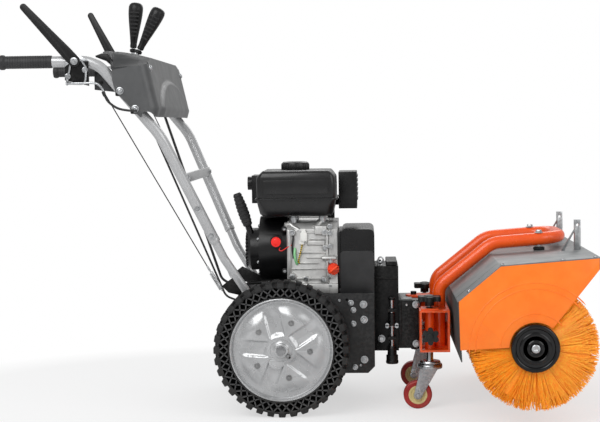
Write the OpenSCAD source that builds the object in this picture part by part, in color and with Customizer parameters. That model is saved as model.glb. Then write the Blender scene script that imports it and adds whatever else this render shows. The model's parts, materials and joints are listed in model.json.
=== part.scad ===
// Walk-behind power brush sweeper, millimetres.
// Places along x are measured from the wheel axle, forward is +x, and the floor is z = 0.
// The whole machine is then moved so that its box is centred over the origin.

/* [Overall] */
// Rear end of the grips, from the wheel axle
grip_end_x = -706; // [-800:1:-680]
// Front edge of the brush hood, from the wheel axle
hood_front_x = 798; // [798:1:840]

/* [Wheels] */
// Radius of the drive wheels over the lugs
wheel_r = 177; // [172:1:182]
// Width of a drive wheel
wheel_w = 90; // [80:1:94]
// Gap between a side plate and a drive wheel
wheel_gap = 21; // [16:1:30]
// Height of the tyre over the rim, with its lugs
tyre_h = 42; // [36:1:50]
// Height of the tread lugs
lug_h = 8; // [5:1:10]
// Length of a lug round the tyre
lug_len = 17; // [12:1:20]
// Number of lugs in a row
lug_count = 36; // [30:1:40]
// Radius of the wheel axle
axle_r = 12; // [10:0.5:14]
// Radius of the wheel hub
hub_r = 30; // [24:1:40]

/* [Drive housing] */
// Inner face of a side plate, from the middle
housing_half = 155; // [150:1:156]
// Thickness of the side plates and end panels
plate_t = 4; // [3:0.5:5]
// Rear end of the housing
housing_rear_x = -112; // [-120:1:-106]
// Front end of the housing
housing_front_x = 243; // [238:1:248]
// Lowest edge of the housing
housing_bot_z = 97; // [90:1:98]
// Top of the engine deck
deck_z = 306; // [304:1:312]
// Thickness of the engine deck
deck_t = 6; // [4:1:8]
// Height of a side plate over the deck at the front
plate_lip = 5; // [3:1:8]
// Corner cut of a side plate
plate_cut = 18; // [10:1:24]

/* [Drive train] */
// Height of the brush drive line
drive_z = 200; // [196:1:204]
// Radius of the drive shafts
shaft_r = 10; // [9:0.5:11]
// Radius of the friction disc
disc_r = 68; // [60:1:72]
// Radius of the friction wheel
friction_r = 50; // [46:1:52]
// Groove radius of the two upper pulleys
crank_pulley_r = 38; // [34:1:42]
// Groove radius of the two lower pulleys
low_pulley_r = 52; // [48:1:56]
// Width of a belt
belt_w = 11; // [9:0.5:12]
// Thickness of a belt
belt_t = 8; // [6:0.5:9]
// Teeth of the pinion
pinion_teeth = 15; // [12:1:16]
// Teeth of the axle gear
gear_teeth = 30; // [26:2:32]
// Teeth of each bevel gear
bevel_teeth = 16; // [14:2:18]
// Outer pitch radius of the bevel gears
bevel_r = 34; // [30:1:36]

/* [Engine] */
// Height of the crankshaft
crank_z = 418; // [416:1:424]
// Radius of the crankshaft
crank_r = 14; // [12:0.5:15]
// Rear face of the crankcase
case_x0 = 9; // [6:1:12]
// Joint between crankcase and its cover
case_x1 = 122; // [118:1:126]
// Front face of the crankcase cover
case_x2 = 146; // [142:1:150]
// Near and far reach of the crankcase
case_half = 102; // [98:1:106]
// Top of the crankcase
case_top_z = 495; // [492:1:498]
// Radius of the fan cowl
cowl_r = 90; // [86:1:92]
// Rear face of the fan cowl
cowl_x = -68; // [-72:1:-64]
// Radius of the recoil cover
recoil_r = 58; // [54:1:60]
// Rear face of the recoil cover
recoil_x = -106; // [-112:1:-100]
// Radius of the flywheel
flywheel_r = 74; // [68:1:78]

/* [Fuel tank] */
// Rear end of the tank
tank_x0 = -71; // [-76:1:-66]
// Front end of the tank
tank_x1 = 143; // [138:1:144]
// Near side of the tank
tank_y0 = -120; // [-126:1:-112]
// Far side of the tank
tank_y1 = 68; // [60:1:70]
// Underside of the tank
tank_z0 = 513; // [512:1:516]
// Height of the seam flange
tank_seam_z = 563; // [556:1:570]
// Top of the tank
tank_z1 = 633; // [628:1:640]
// Radius of the fuel cap
cap_r = 38; // [34:1:42]
// Height of the fuel cap
cap_h = 24; // [20:1:28]
// Middle of the fuel cap
cap_x = 31; // [26:1:36]
// Middle of the fuel cap, to the side
cap_y = -26; // [-30:1:-20]

/* [Belt cover] */
// Rear face of the belt cover
cover_x0 = 155; // [152:1:158]
// Front face of the belt cover
cover_x1 = 245; // [242:1:247]
// Reach of the belt cover to each side
cover_half = 120; // [110:1:124]
// Top of the belt cover
cover_top_z = 478; // [474:1:486]
// Wall of the sheet covers
cover_wall = 3; // [2:0.5:4]

/* [Hitch and arm] */
// Front face of the hitch box
hitch_x1 = 309; // [304:1:312]
// Reach of the hitch box to each side
hitch_half = 75; // [70:1:80]
// Underside of the hitch box
hitch_z0 = 143; // [138:1:148]
// Top of the hitch box
hitch_z1 = 374; // [368:1:380]
// Front face of the arm box
arm_x1 = 368; // [364:1:369]
// Reach of the arm box to each side
arm_half = 78; // [74:1:80]
// Underside of the arm box
arm_z0 = 150; // [148:1:152]
// Top of the arm box
arm_z1 = 281; // [278:1:284]
// Wall of the hitch and arm boxes
box_wall = 5; // [4:0.5:6]
// Swivel axis
swivel_x = 352; // [350:1:354]
// Radius of the swivel pins
kingpin_r = 8; // [7:0.5:9]

/* [Head] */
// Plane of the bracket's rear web
web_x = 392; // [390:1:394]
// Front face of the bracket
bracket_x1 = 441; // [440:1:442]
// Rear face of the bracket's side bays
bracket_x0 = 362; // [358:1:364]
// Underside of the bracket
bracket_z0 = 156; // [154:1:160]
// Top of the bracket
bracket_z1 = 266; // [262:1:268]
// Reach of the bracket to each side
bracket_half = 185; // [180:1:190]
// Plate of the bracket
bracket_t = 5; // [4:0.5:6]
// Radius of the looped arm tube
loop_r = 17; // [15:0.5:18]
// Arm tube, from the middle
loop_y = 100; // [98:1:104]
// Wall of the looped arm tube
loop_wall = 2.5; // [2:0.5:3]

/* [Hood and brush] */
// Outer face of a hood side panel
hood_half = 400; // [392:1:420]
// Sheet thickness of the hood
hood_t = 3; // [2:0.5:4]
// Rear top corner of the hood
hood_rear_x = 447; // [446:1:450]
// Height of that corner
hood_rear_z = 315; // [312:1:316]
// Shoulder of the hood
hood_mid_x = 554; // [548:1:560]
// Height of the shoulder
hood_mid_z = 404; // [400:1:408]
// Height of the hood at its front edge
hood_front_z = 422; // [418:1:426]
// Depth of the front lip
hood_lip = 28; // [22:1:34]
// Brush axis
brush_x = 638; // [634:1:640]
// Radius of the brush
brush_r = 158; // [150:1:158]
// Radius of the bristles' backing tube
core_r = 45; // [40:1:48]
// Gap between the two brush halves, to each side
brush_gap = 56; // [54:1:64]
// Gap from the end of the bristles to the hood's outer face
brush_end_gap = 9; // [7:1:16]
// Radius of the brush end caps
end_cap_r = 60; // [54:1:62]
// Strands round the brush
strands_round = 28; // [24:2:28]
// Rows of strands along each half
strand_rows = 14; // [12:2:14]

/* [Casters] */
// Radius of a caster wheel
caster_r = 38; // [36:0.5:40]
// Width of a caster wheel
caster_w = 25; // [20:1:28]
// Trail of a caster wheel behind its stem
caster_trail = 33; // [28:1:36]
// Caster stem, along x
stem_x = 389; // [388:1:390]
// Caster stem, to each side
stem_y = 150; // [148:1:152]
// Radius of a caster stem
stem_r = 9; // [8.5:0.1:9.4]

/* [Handle] */
// Radius of the upper handle tube
tube_r = 14; // [13:0.5:15]
// Radius of the lower handle tube
low_tube_r = 11.5; // [10.5:0.5:11.5]
// Grip height
grip_z = 928; // [915:1:935]
// Grip, to each side
grip_y = 305; // [303:1:307]
// Radius of a grip
grip_r = 16; // [15.5:0.5:18]
// Length of a grip
grip_len = 136; // [120:1:140]
// Reach of the console past the middle of a grip
console_over = 17; // [16:1:21]
// Sheet thickness of the console
console_t = 2.5; // [2:0.5:3]

/* [Hidden] */
$fn = 64;
over = 1;
run_fit = 0.06;
sleeve_fit = 0.1;
seat_gap = 0.4;
weld_len = 3;
weld_lip = 0.15;
weld_gap = 0.5;
mid_x = (grip_end_x + hood_front_x) / 2;
track_half = housing_half + plate_t + wheel_gap + wheel_w;
rim_r = wheel_r - tyre_h;
brush_end = hood_half - brush_end_gap;
console_half = grip_y + console_over;

// General shapes
module placed() { translate([-mid_x, 0, 0]) children(); }
module both() {
    children();
    mirror([0, 1, 0]) children();
}
module box(x0, x1, y0, y1, z0, z1) { translate([x0, y0, z0]) cube([x1 - x0, y1 - y0, z1 - z0]); }
module slab(y0, y1) { translate([0, y1, 0]) rotate([90, 0,
    0]) linear_extrude(height = y1 - y0) children(); }
module ycyl(x, z, r, y0, y1) { translate([x, y1, z]) rotate([90, 0, 0]) cylinder(r = r, h = y1 - y0); }
module xcyl(x0, x1, y, z, r) { translate([x0, y, z]) rotate([0, 90, 0]) cylinder(r = r, h = x1 - x0); }
module zcyl(x, y, r, z0, z1) { translate([x, y, z0]) cylinder(r = r, h = z1 - z0); }
function unit(v) = v / norm(v);
function turn_of(u, v) = acos(max(-1, min(1, u * v)));
function run_dir(pts, i) = unit(pts[i + 1] - pts[i]);
function cut_back(pts, bends, i) = (i == 0 || i == len(pts) - 1) ? 0
    : bends[i] * tan(turn_of(run_dir(pts, i - 1), run_dir(pts, i)) / 2);
module ring2d(r, bore) {
    difference() {
        circle(r);
        if (bore > 0) circle(bore);
    }
}
module along(a, b) {
    d = b - a;
    translate(a) rotate([0, acos(d[2] / norm(d)), atan2(d[1], d[0])]) children();
}
module elbow(p, u, v, bend, r, bore) {
    t = turn_of(u, v);
    w = unit(v - u * (u * v));
    c = p - u * bend * tan(t / 2) + w * bend;
    n = cross(-w, u);
    multmatrix([[-w[0], u[0], n[0], c[0]], [-w[1], u[1], n[1], c[1]], [-w[2], u[2], n[2], c[2]], [0, 0,
        0, 1]])
        rotate_extrude(angle = t) translate([bend, 0]) ring2d(r, bore);
}
module weld_ring(at, d, r, bore) {
    along(at - d * weld_len / 2, at + d * weld_len / 2) linear_extrude(height = weld_len)
        ring2d(r + weld_lip, bore - weld_lip);
}
module bent_tube(pts, bends, r, bore) {
    for (i = [0 : len(pts) - 2]) {
        d = run_dir(pts, i);
        a = pts[i] + d * cut_back(pts, bends, i);
        b = pts[i + 1] - d * cut_back(pts, bends, i + 1);
        a_in = i > 0 ? a + d * weld_gap : a;
        b_in = i < len(pts) - 2 ? b - d * weld_gap : b;
        along(a_in, b_in) linear_extrude(height = norm(b_in - a_in)) ring2d(r, bore);
        if (i > 0) {
            elbow(pts[i], run_dir(pts, i - 1), d, bends[i], r, bore);
            weld_ring(a, d, r, bore);
            weld_ring(pts[i] - run_dir(pts, i - 1) * cut_back(pts, bends, i), run_dir(pts, i - 1), r, bore);
        }
    }
}
module bolt_head(r, h) {
    washer_share = 0.3;
    hex_share = 0.8;
    cylinder(r = r, h = h * washer_share);
    cylinder(r = r * hex_share, h = h, $fn = 6);
}
tooth_root_share = 0.30;
tooth_tip_share = 0.13;
addendum_share = 0.8;
dedendum_share = 1.25;
function gear_points(teeth, pitch_r) = let (m = 2 * pitch_r / teeth, a = 360 / teeth,
    r0 = pitch_r - m * dedendum_share, r1 = pitch_r + m * addendum_share)
    [for (i = [0 : teeth - 1], k = [[r0, -tooth_root_share], [r1, -tooth_tip_share],
        [r1, tooth_tip_share], [r0, tooth_root_share]])
        k[0] * [cos(a * (i + k[1])), sin(a * (i + k[1]))]];

// Drive housing
slot_x0 = 167;
slot_x1 = 225;
slot_half = 70;
plate_rear_drop = 13;
plate_rear_x = -44;
plate_top_z = deck_z + plate_lip;
hex_gap = 0.4;
disc_x0 = 148;
disc_t = 8;
hex_x = disc_x0 - hex_gap - friction_r;
hex_z = drive_z;
bearing_r = 24;
hex_bush_r = 16;
gear_distance = norm([hex_x, hex_z - wheel_r]);
gear_r = gear_distance * gear_teeth / (gear_teeth + pinion_teeth);
pinion_r = gear_distance - gear_r;
module side_plate_outline() {
    difference() {
        polygon([[housing_rear_x + plate_cut, housing_bot_z], [housing_front_x - plate_cut, housing_bot_z],
            [housing_front_x, housing_bot_z + plate_cut], [housing_front_x, plate_top_z],
            [plate_rear_x + plate_cut, plate_top_z], [plate_rear_x, deck_z - plate_rear_drop],
            [housing_rear_x, deck_z - plate_rear_drop], [housing_rear_x, housing_bot_z + plate_cut]]);
        translate([0, wheel_r]) circle(bearing_r + sleeve_fit);
        translate([hex_x, hex_z]) circle(hex_bush_r + sleeve_fit);
    }
}
module side_plates() {
    color("dimgray") placed() both() slab(-housing_half - plate_t, -housing_half) side_plate_outline();
}
module engine_deck() {
    color("black") placed() difference() {
        box(housing_rear_x, housing_front_x, -housing_half, housing_half, deck_z - deck_t, deck_z);
        box(slot_x0, slot_x1, -slot_half, slot_half, deck_z - deck_t - over, deck_z + over);
    }
}
front_boss_r = 22;
front_boss_len = 12;
bottom_t = 3;
module housing_panels() {
    color("black") placed() difference() {
        union() {
            box(housing_rear_x, housing_rear_x + plate_t, -housing_half, housing_half,
                housing_bot_z + plate_cut, deck_z - deck_t);
            box(housing_front_x - plate_t, housing_front_x, -housing_half, housing_half,
                housing_bot_z + plate_cut, deck_z - deck_t);
            xcyl(housing_front_x - plate_t - front_boss_len, housing_front_x - plate_t, 0, drive_z,
                front_boss_r);
            box(housing_rear_x + plate_cut, housing_front_x - plate_cut, -housing_half, housing_half,
                housing_bot_z, housing_bot_z + bottom_t);
        }
        xcyl(housing_front_x - plate_t - front_boss_len - over, housing_front_x + over, 0, drive_z,
            shaft_r + run_fit);
    }
}
bearing_flange_r = 32;
bearing_flange_t = 5;
bearing_in = 8;
hex_r = 9;
hex_bush_flange_r = 21;
hanger_x0 = 160;
hanger_t = 8;
hanger_half = 25;
hanger_drop = 24;
module bearing(x, z, r, flange_r, bore) {
    difference() {
        union() {
            ycyl(x, z, r, -housing_half - plate_t, -housing_half + bearing_in);
            ycyl(x, z, flange_r, -housing_half - plate_t - bearing_flange_t, -housing_half - plate_t);
        }
        ycyl(x, z, bore, -housing_half - plate_t - bearing_flange_t - over,
            -housing_half + bearing_in + over);
    }
}
module shaft_bearings() {
    color("silver") placed() {
        both() {
            bearing(0, wheel_r, bearing_r, bearing_flange_r, axle_r + run_fit);
            bearing(hex_x, hex_z, hex_bush_r, hex_bush_flange_r, hex_r + run_fit);
        }
        difference() {
            box(hanger_x0, hanger_x0 + hanger_t, -hanger_half, hanger_half, drive_z - hanger_drop,
                deck_z - deck_t);
            xcyl(hanger_x0 - over, hanger_x0 + hanger_t + over, 0, drive_z, shaft_r + run_fit);
        }
    }
}

// Hitch, arm and latch
shaft_way_r = 26;
latch_x = 290;
latch_y = -89;
latch_r = 6;
lug_half = 11;
lug_t = 9;
lug_out = 25;
latch_lugs_z = [252, 176];
pin_reach = 15;
module hitch_box() {
    color("black") placed() difference() {
        union() {
            box(housing_front_x, hitch_x1, -hitch_half, hitch_half, hitch_z0, hitch_z1);
            for (z = latch_lugs_z) box(latch_x - lug_half, latch_x + lug_half, -hitch_half - lug_out,
                -hitch_half, z, z + lug_t);
        }
        box(housing_front_x + box_wall, hitch_x1 - box_wall, -hitch_half + box_wall, hitch_half - box_wall,
            hitch_z0 - over, hitch_z1 - box_wall);
        xcyl(housing_front_x - over, hitch_x1 - box_wall, 0, drive_z, shaft_way_r);
        xcyl(hitch_x1 - box_wall - over, hitch_x1 + over, 0, drive_z, shaft_r + run_fit);
        for (z = latch_lugs_z) zcyl(latch_x, latch_y, latch_r + run_fit, z - over, z + lug_t + over);
    }
}
module arm_box() {
    color("black") placed() {
        difference() {
            box(hitch_x1, arm_x1, -arm_half, arm_half, arm_z0, arm_z1);
            box(hitch_x1 + box_wall, arm_x1 + over, -arm_half + box_wall, arm_half - box_wall,
                arm_z0 + box_wall, arm_z1 - box_wall);
            xcyl(hitch_x1 - over, hitch_x1 + box_wall + over, 0, drive_z, shaft_way_r);
        }
        zcyl(swivel_x, 0, kingpin_r, arm_z1 - box_wall, arm_z1 + pin_reach);
        zcyl(swivel_x, 0, kingpin_r, arm_z0 - pin_reach, arm_z0 + box_wall);
    }
}
foot_r = 16;
foot_h = 22;
latch_z0 = 112;
latch_z1 = 292;
collar_r = 10;
collar_h = 8;
latch_collar_z = 214;
latch_neck_r = 9;
latch_neck_h = 30;
module swivel_latch() {
    color("silver") placed() translate([latch_x, latch_y, 0]) {
        zcyl(0, 0, latch_r, latch_z0, latch_z1);
        zcyl(0, 0, foot_r, latch_z0, latch_z0 + foot_h);
        zcyl(0, 0, latch_neck_r, latch_z0 + foot_h, latch_z0 + foot_h + latch_neck_h - collar_h);
        zcyl(0, 0, collar_r, latch_collar_z, latch_collar_z + collar_h);
        zcyl(0, 0, collar_r, latch_z1 - collar_h, latch_z1);
    }
}

// Handle
foot_out = 7;
knee_out = 25;
foot_x = -96;
foot_y = housing_half + foot_out;
foot_z = 318;
knee_x = -153;
knee_y = foot_y + knee_out;
knee_z = 410;
bow_x = -301;
bow_in = 21;
bow_y = grip_y - bow_in;
bow_z = 737;
neck_x = -459;
tube_wall = 2.2;
knee_bend = 90;
bow_bend = 160;
neck_bend = 75;
sleeve_start = 52;
inner_reach = 120;
foot_pt = [foot_x, -foot_y, foot_z];
knee_pt = [knee_x, -knee_y, knee_z];
bow_pt = [bow_x, -bow_y, bow_z];
neck_pt = [neck_x, -grip_y, grip_z];
end_pt = [grip_end_x, -grip_y, grip_z];
slope_dir = unit(bow_pt - knee_pt);
brace_z = 626;
brace_h = 24;
brace_t = 6;
brace_pt = knee_pt + (bow_pt - knee_pt) * (brace_z - knee_z) / (bow_z - knee_z);
brace_x = brace_pt[0] + tube_r;
module handle_tubes() {
    color("silver") placed() {
        both() {
            bent_tube([knee_pt + slope_dir * sleeve_start, bow_pt, neck_pt, end_pt + [over, 0, 0]],
                [0, bow_bend, neck_bend, 0], tube_r, tube_r - tube_wall);
            bent_tube([foot_pt, knee_pt, knee_pt + slope_dir * inner_reach], [0, knee_bend, 0],
                low_tube_r, low_tube_r - tube_wall);
        }
        box(brace_x - brace_t, brace_x, brace_pt[1], -brace_pt[1], brace_z - brace_h / 2,
            brace_z + brace_h / 2);
    }
}
bracket_set = 5;
bracket_in = housing_half - bracket_set;
hb_t = 5;
hb_rear_x = -164;
hb_front_x = -56;
hb_top_z = 354;
hb_low_z = 314;
hb_foot = 26;
module handle_brackets() {
    color("black") placed() both() {
        slab(-bracket_in, -bracket_in + hb_t) polygon([[housing_rear_x, deck_z], [hb_front_x, deck_z],
            [hb_front_x, hb_low_z], [knee_x + plate_cut, hb_top_z], [hb_rear_x, hb_low_z + plate_cut],
            [hb_rear_x + plate_cut, hb_low_z]]);
        box(housing_rear_x, hb_front_x, -bracket_in + hb_t, -bracket_in + hb_t + hb_foot, deck_z,
            deck_z + hb_t);
    }
}
grip_flare_r = 19;
grip_flare_len = 12;
module grips() {
    color("black") placed() both() difference() {
        union() {
            xcyl(grip_end_x, grip_end_x + grip_len, -grip_y, grip_z, grip_r);
            xcyl(grip_end_x, grip_end_x + grip_flare_len, -grip_y, grip_z, grip_flare_r);
        }
        xcyl(grip_end_x + over, grip_end_x + grip_len + over, -grip_y, grip_z, tube_r + run_fit);
    }
}
con_rear_x = -496;
con_rear_z = 962;
con_crown_x = -400;
con_crown_z = 954;
con_brow_x = -330;
con_brow_z = 938;
con_nose_x = -300;
con_nose_z = 806;
con_chin_x = -306;
con_chin_z = 784;
con_low_x = -346;
con_low_z = 784;
con_back_x = -408;
con_back_z = 849;
con_heel_x = -416;
con_heel_z = 910;
con_dip_x = -328;
con_dip_z = 799;
con_bend_r = 30;
con_rake = atan((con_nose_x - con_brow_x) / (con_brow_z - con_nose_z));
con_front_len = norm([con_nose_x - con_brow_x, con_brow_z - con_chin_z]);
slot_len = 84;
slot_w = 15;
lever_y = 30;
module console_outline() {
    polygon([[con_rear_x, con_rear_z], [con_crown_x, con_crown_z], [con_brow_x, con_brow_z],
        [con_nose_x, con_nose_z], [con_chin_x, con_chin_z], [con_dip_x, con_dip_z], [con_low_x, con_low_z],
        [con_back_x, con_back_z], [con_heel_x, con_heel_z]]);
}
module console_bend(half, bend_r) {
    translate([con_brow_x, 0, con_brow_z]) rotate([0, -con_rake, 0]) difference() {
        box(-bend_r, con_bend_r, half - bend_r, half + con_bend_r, -con_front_len - con_bend_r, con_bend_r);
        zcyl(-bend_r, half - bend_r, bend_r, -con_front_len - 2 * con_bend_r, 2 * con_bend_r);
    }
}
module console_solid(half, bend_r) {
    difference() {
        slab(-half, half) console_outline();
        both() console_bend(half, bend_r);
    }
}
module console_shell() {
    difference() {
        console_solid(console_half, con_bend_r);
        translate([-console_t, 0, -console_t]) console_solid(console_half - console_t,
            con_bend_r - console_t);
        box(con_rear_x - over, con_heel_x, -console_half - over, -grip_y + grip_r + tube_r,
            con_heel_z - tube_r,
            con_rear_z + over);
        box(con_rear_x - over, con_heel_x, grip_y - grip_r - tube_r, console_half + over,
            con_heel_z - tube_r,
            con_rear_z + over);
        for (s = [-1, 1]) box(knob_pivot_x - slot_w, knob_pivot_x - slot_w + slot_len,
            s * lever_y - slot_w / 2,
            s * lever_y + slot_w / 2, con_brow_z, con_rear_z + over);
    }
}
saddle_shares = [0.4, 0.64];
saddle_r = 10;
function saddle_at(share) = neck_pt + (bow_pt - neck_pt) * share;
module saddles() {
    difference() {
        for (share = saddle_shares) ycyl(saddle_at(share)[0], saddle_at(share)[2], saddle_r,
            -console_half + console_t / 2, saddle_at(share)[1]);
        along(neck_pt, bow_pt) cylinder(r = tube_r, h = norm(bow_pt - neck_pt));
    }
}
module console() {
    color("gray") placed() {
        console_shell();
        both() saddles();
    }
}

// Levers
clutch_x = -510;
clutch_plate_t = 2;
clutch_pin_r = 5;
clutch_t = 6;
clutch_pin_cap_r = 9;
clutch_pin_cap_h = 3;
clutch_len = 196;
clutch_root_w = 30;
clutch_tip_w = 18;
clutch_angle = 132.5;
brush_lever_angle = 117;
clamp_x0 = -536;
clamp_x1 = -474;
clamp_z0 = 880;
clutch_y = grip_y + tube_r + sleeve_fit;
pin_y = clutch_y + clutch_plate_t;
knob_pivot_x = -425;
knob_pivot_z = 905;
knob_pin_r = 5;
knob_pin_half = 52;
knob_lug_t = 5;
knob_lug_half = 13;
knob_rod_r = 5;
knob_boss_r = 11;
knob_boss_half = 6;
knob_tilt = 5;
turn_tilt = 27.5;
knob_rod_len = 82;
knob_len = 118;
knob_top_r = 20;
knob_foot_r = 9;
module lever_brackets() {
    color("lightgray") placed() {
        both() {
            slab(-clutch_y - clutch_plate_t, -clutch_y) polygon([[clamp_x0, clamp_z0],
                [clamp_x1, clamp_z0 - clutch_root_w / 2], [clamp_x1, grip_z], [clutch_x + clutch_root_w / 2,
                grip_z + tube_r], [clutch_x - clutch_root_w / 2, grip_z + tube_r], [clamp_x0,
                    grip_z - tube_r]]);
            ycyl(clutch_x, grip_z, clutch_pin_r, -pin_y - clutch_t - 2 * seat_gap, -pin_y);
            ycyl(clutch_x, grip_z, clutch_pin_cap_r, -pin_y - clutch_t - 2 * seat_gap - clutch_pin_cap_h,
                -pin_y - clutch_t - 2 * seat_gap);
        }
        ycyl(knob_pivot_x, knob_pivot_z, knob_pin_r, -knob_pin_half, knob_pin_half);
        both() slab(-knob_pin_half - knob_lug_t, -knob_pin_half) polygon([
            [knob_pivot_x - knob_lug_half, knob_pivot_z - knob_lug_half],
            [knob_pivot_x + knob_lug_half, knob_pivot_z - knob_lug_half],
            [knob_pivot_x + knob_lug_half, con_under(knob_pivot_x + knob_lug_half)],
            [knob_pivot_x - knob_lug_half, con_under(knob_pivot_x - knob_lug_half)]]);
    }
}
function con_under(x) = con_rear_z - console_t
    + (con_crown_z - con_rear_z) * (x + console_t - con_rear_x) / (con_crown_x - con_rear_x);
module clutch_lever(angle) {
    translate([clutch_x, -pin_y - seat_gap, grip_z]) rotate([90, 0,
        0]) rotate(angle) linear_extrude(height = clutch_t)
        difference() {
            union() {
                circle(clutch_root_w / 2);
                polygon([[0, -clutch_root_w / 2], [clutch_root_w, -clutch_root_w / 2],
                    [clutch_len - clutch_tip_w / 2, -clutch_tip_w / 2],
                    [clutch_len - clutch_tip_w / 2, clutch_tip_w / 2], [clutch_root_w, clutch_root_w / 2],
                    [0, clutch_root_w / 2]]);
                translate([clutch_len - clutch_tip_w / 2, 0]) circle(clutch_tip_w / 2);
            }
            circle(clutch_pin_r + run_fit);
        }
}
module drive_lever() { color("black") placed() clutch_lever(clutch_angle); }
module brush_lever() { color("black") placed() mirror([0, 1, 0]) clutch_lever(brush_lever_angle); }
module knob_lever(tilt) {
    translate([knob_pivot_x, 0, knob_pivot_z]) rotate([0, tilt, 0]) {
        difference() {
            union() {
                ycyl(0, 0, knob_boss_r, -knob_boss_half, knob_boss_half);
                cylinder(r = knob_rod_r, h = knob_rod_len);
            }
            ycyl(0, 0, knob_pin_r + run_fit, -knob_boss_half - over, knob_boss_half + over);
        }
        translate([0, 0, knob_rod_len]) {
            cylinder(r1 = knob_foot_r, r2 = knob_top_r, h = knob_len - knob_top_r);
            translate([0, 0, knob_len - knob_top_r]) sphere(knob_top_r);
        }
    }
}
module speed_lever() { color("black") placed() translate([0, lever_y, 0]) knob_lever(knob_tilt); }
module turn_lever() { color("black") placed() translate([0, -lever_y, 0]) knob_lever(turn_tilt); }

// Clutch cables along their route, on the right hand side
cable_r = 3;
wire_r = 1.5;
cable_gap = 8.5;
cable_y = console_half + cable_gap;
cable_bend = 20;
cable_route = [[-532, -cable_y, 872], [-445, -cable_y, 872], [-432, -cable_y, 836], [-400, -cable_y, 806],
    [-352, -cable_y, 800]];
wire_top = [-440.5, -cable_y, 858];
spring_top = [-192, -176, 376];
spring_foot = [-163, hb_t / 2 - bracket_in, 318];
spring_hook = 5;
spring_r = 5;
spring_wire_r = 1;
spring_turns = 13;
module clutch_cables() {
    color("dimgray") placed() both() {
        bent_tube(cable_route, [0, cable_bend, cable_bend, cable_bend, 0], cable_r, 0);
        along(wire_top, spring_top) cylinder(r = wire_r, h = norm(spring_top - wire_top));
        along(spring_top, spring_foot) translate([0, 0, seat_gap]) coil_spring();
    }
}
ring_sides = 6;
curl_rings = 8;
hook_rings = 3;
spring_steps = (spring_turns + 1) * curl_rings;
spring_len = norm(spring_foot - spring_top) - seat_gap;
spring_run = spring_len - 2 * spring_hook;
function coil_radius(i) = spring_r * max(0, min(1, i / hook_rings, (spring_steps - i) / hook_rings));
function coil_point(i) = [coil_radius(i) * cos(360 * i / curl_rings),
    coil_radius(i) * sin(360 * i / curl_rings),
    spring_hook + spring_run * i / spring_steps];
coil_pts = concat([[0, 0, 0]], [for (i = [0 : spring_steps]) coil_point(i)], [[0, 0, spring_len]]);
last_ring = len(coil_pts) - 1;
function coil_ring(i) = let (t = unit(coil_pts[min(i + 1, last_ring)] - coil_pts[max(i - 1, 0)]),
    a = 360 * (i - 1) / curl_rings, n = unit(cross(t, [cos(a), sin(a), 0])), b = cross(t, n))
    [for (k = [0 : ring_sides - 1]) coil_pts[i] + spring_wire_r * (n * cos(360 * k / ring_sides)
        + b * sin(360 * k / ring_sides))];
module coil_spring() {
    pts = [for (i = [0 : last_ring]) each coil_ring(i)];
    sides = [for (i = [0 : last_ring - 1], k = [0 : ring_sides - 1])
        let (a = i * ring_sides + k, b = i * ring_sides + (k + 1) % ring_sides)
        each [[a, b + ring_sides, b], [a, a + ring_sides, b + ring_sides]]];
    first_cap = [for (k = [1 : ring_sides - 2]) [0, k, k + 1]];
    last = last_ring * ring_sides;
    last_cap = [for (k = [1 : ring_sides - 2]) [last, last + k + 1, last + k]];
    polyhedron(pts, concat(sides, first_cap, last_cap));
}
spring_gap = min([for (i = [0 : last_ring - curl_rings / 2], j = [i + curl_rings / 2 : last_ring])
    norm(coil_pts[i] - coil_pts[j])]) - 2 * spring_wire_r;
echo(spring_gap = spring_gap);

// Engine
case_wall = 9;
case_flange_z = 26;
case_flange = 12;
case_bolt_half = 80;
crank_room_z0 = 338;
crank_room_z1 = 486;
crank_room_half = 84;
module gear_halfline(grow) {
    polygon([[-case_half - grow, deck_z], [case_half, deck_z], [case_half, case_top_z],
        [-case_half + plate_cut, case_top_z], [-case_half, case_top_z - plate_cut],
        [-case_half, deck_z + case_flange_z], [-case_half - grow, deck_z + case_flange_z]]);
}
module case_part(x0, x1) {
    translate([x0, 0, 0]) rotate([90, 0, 90]) linear_extrude(height = x1 - x0) gear_halfline(case_flange);
}
module crankcase() {
    color("lightgray") placed() difference() {
        case_part(case_x0, case_x1);
        box(case_x0 + case_wall, case_x1 + over, -crank_room_half, crank_room_half, crank_room_z0,
            crank_room_z1);
        xcyl(case_x0 - over, case_x0 + case_wall + over, 0, crank_z, crank_r + run_fit);
    }
}
oil_x = 134;
oil_z = 371;
oil_stem_r = 9;
oil_depth = 14;
module crankcase_cover() {
    color("gainsboro") placed() difference() {
        case_part(case_x1, case_x2);
        xcyl(case_x1 - over, case_x2 + over, 0, crank_z, crank_r + run_fit);
        ycyl(oil_x, oil_z, oil_stem_r + run_fit, -case_half - over, -case_half + oil_depth);
    }
}
oil_cap_r = 15;
oil_cap_h = 15;
oil_rib_t = 5;
module oil_cap() {
    color("orangered") placed() {
        ycyl(oil_x, oil_z, oil_stem_r, -case_half - seat_gap, -case_half + oil_depth - over);
        ycyl(oil_x, oil_z, oil_cap_r, -case_half - seat_gap - oil_cap_h / 2, -case_half - seat_gap);
        box(oil_x - oil_cap_r, oil_x + oil_cap_r, -case_half - seat_gap - oil_cap_h, -case_half - seat_gap
            - oil_cap_h / 2, oil_z - oil_rib_t / 2, oil_z + oil_rib_t / 2);
    }
}
web_r = 40;
crank_web_t = 12;
crank_pin_r = 15;
crank_pin_off = 26;
web_gap = 24;
crank_x0 = -58;
crank_x1 = 226;
fly_x0 = -50;
fly_x1 = -16;
belt_gap = 32;
belt1_x = 180;
belt2_x = belt1_x + belt_gap;
flange_t = 3;
groove_play = 1;
groove_w = belt_w + groove_play;
pulley_lip = 7;
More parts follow.
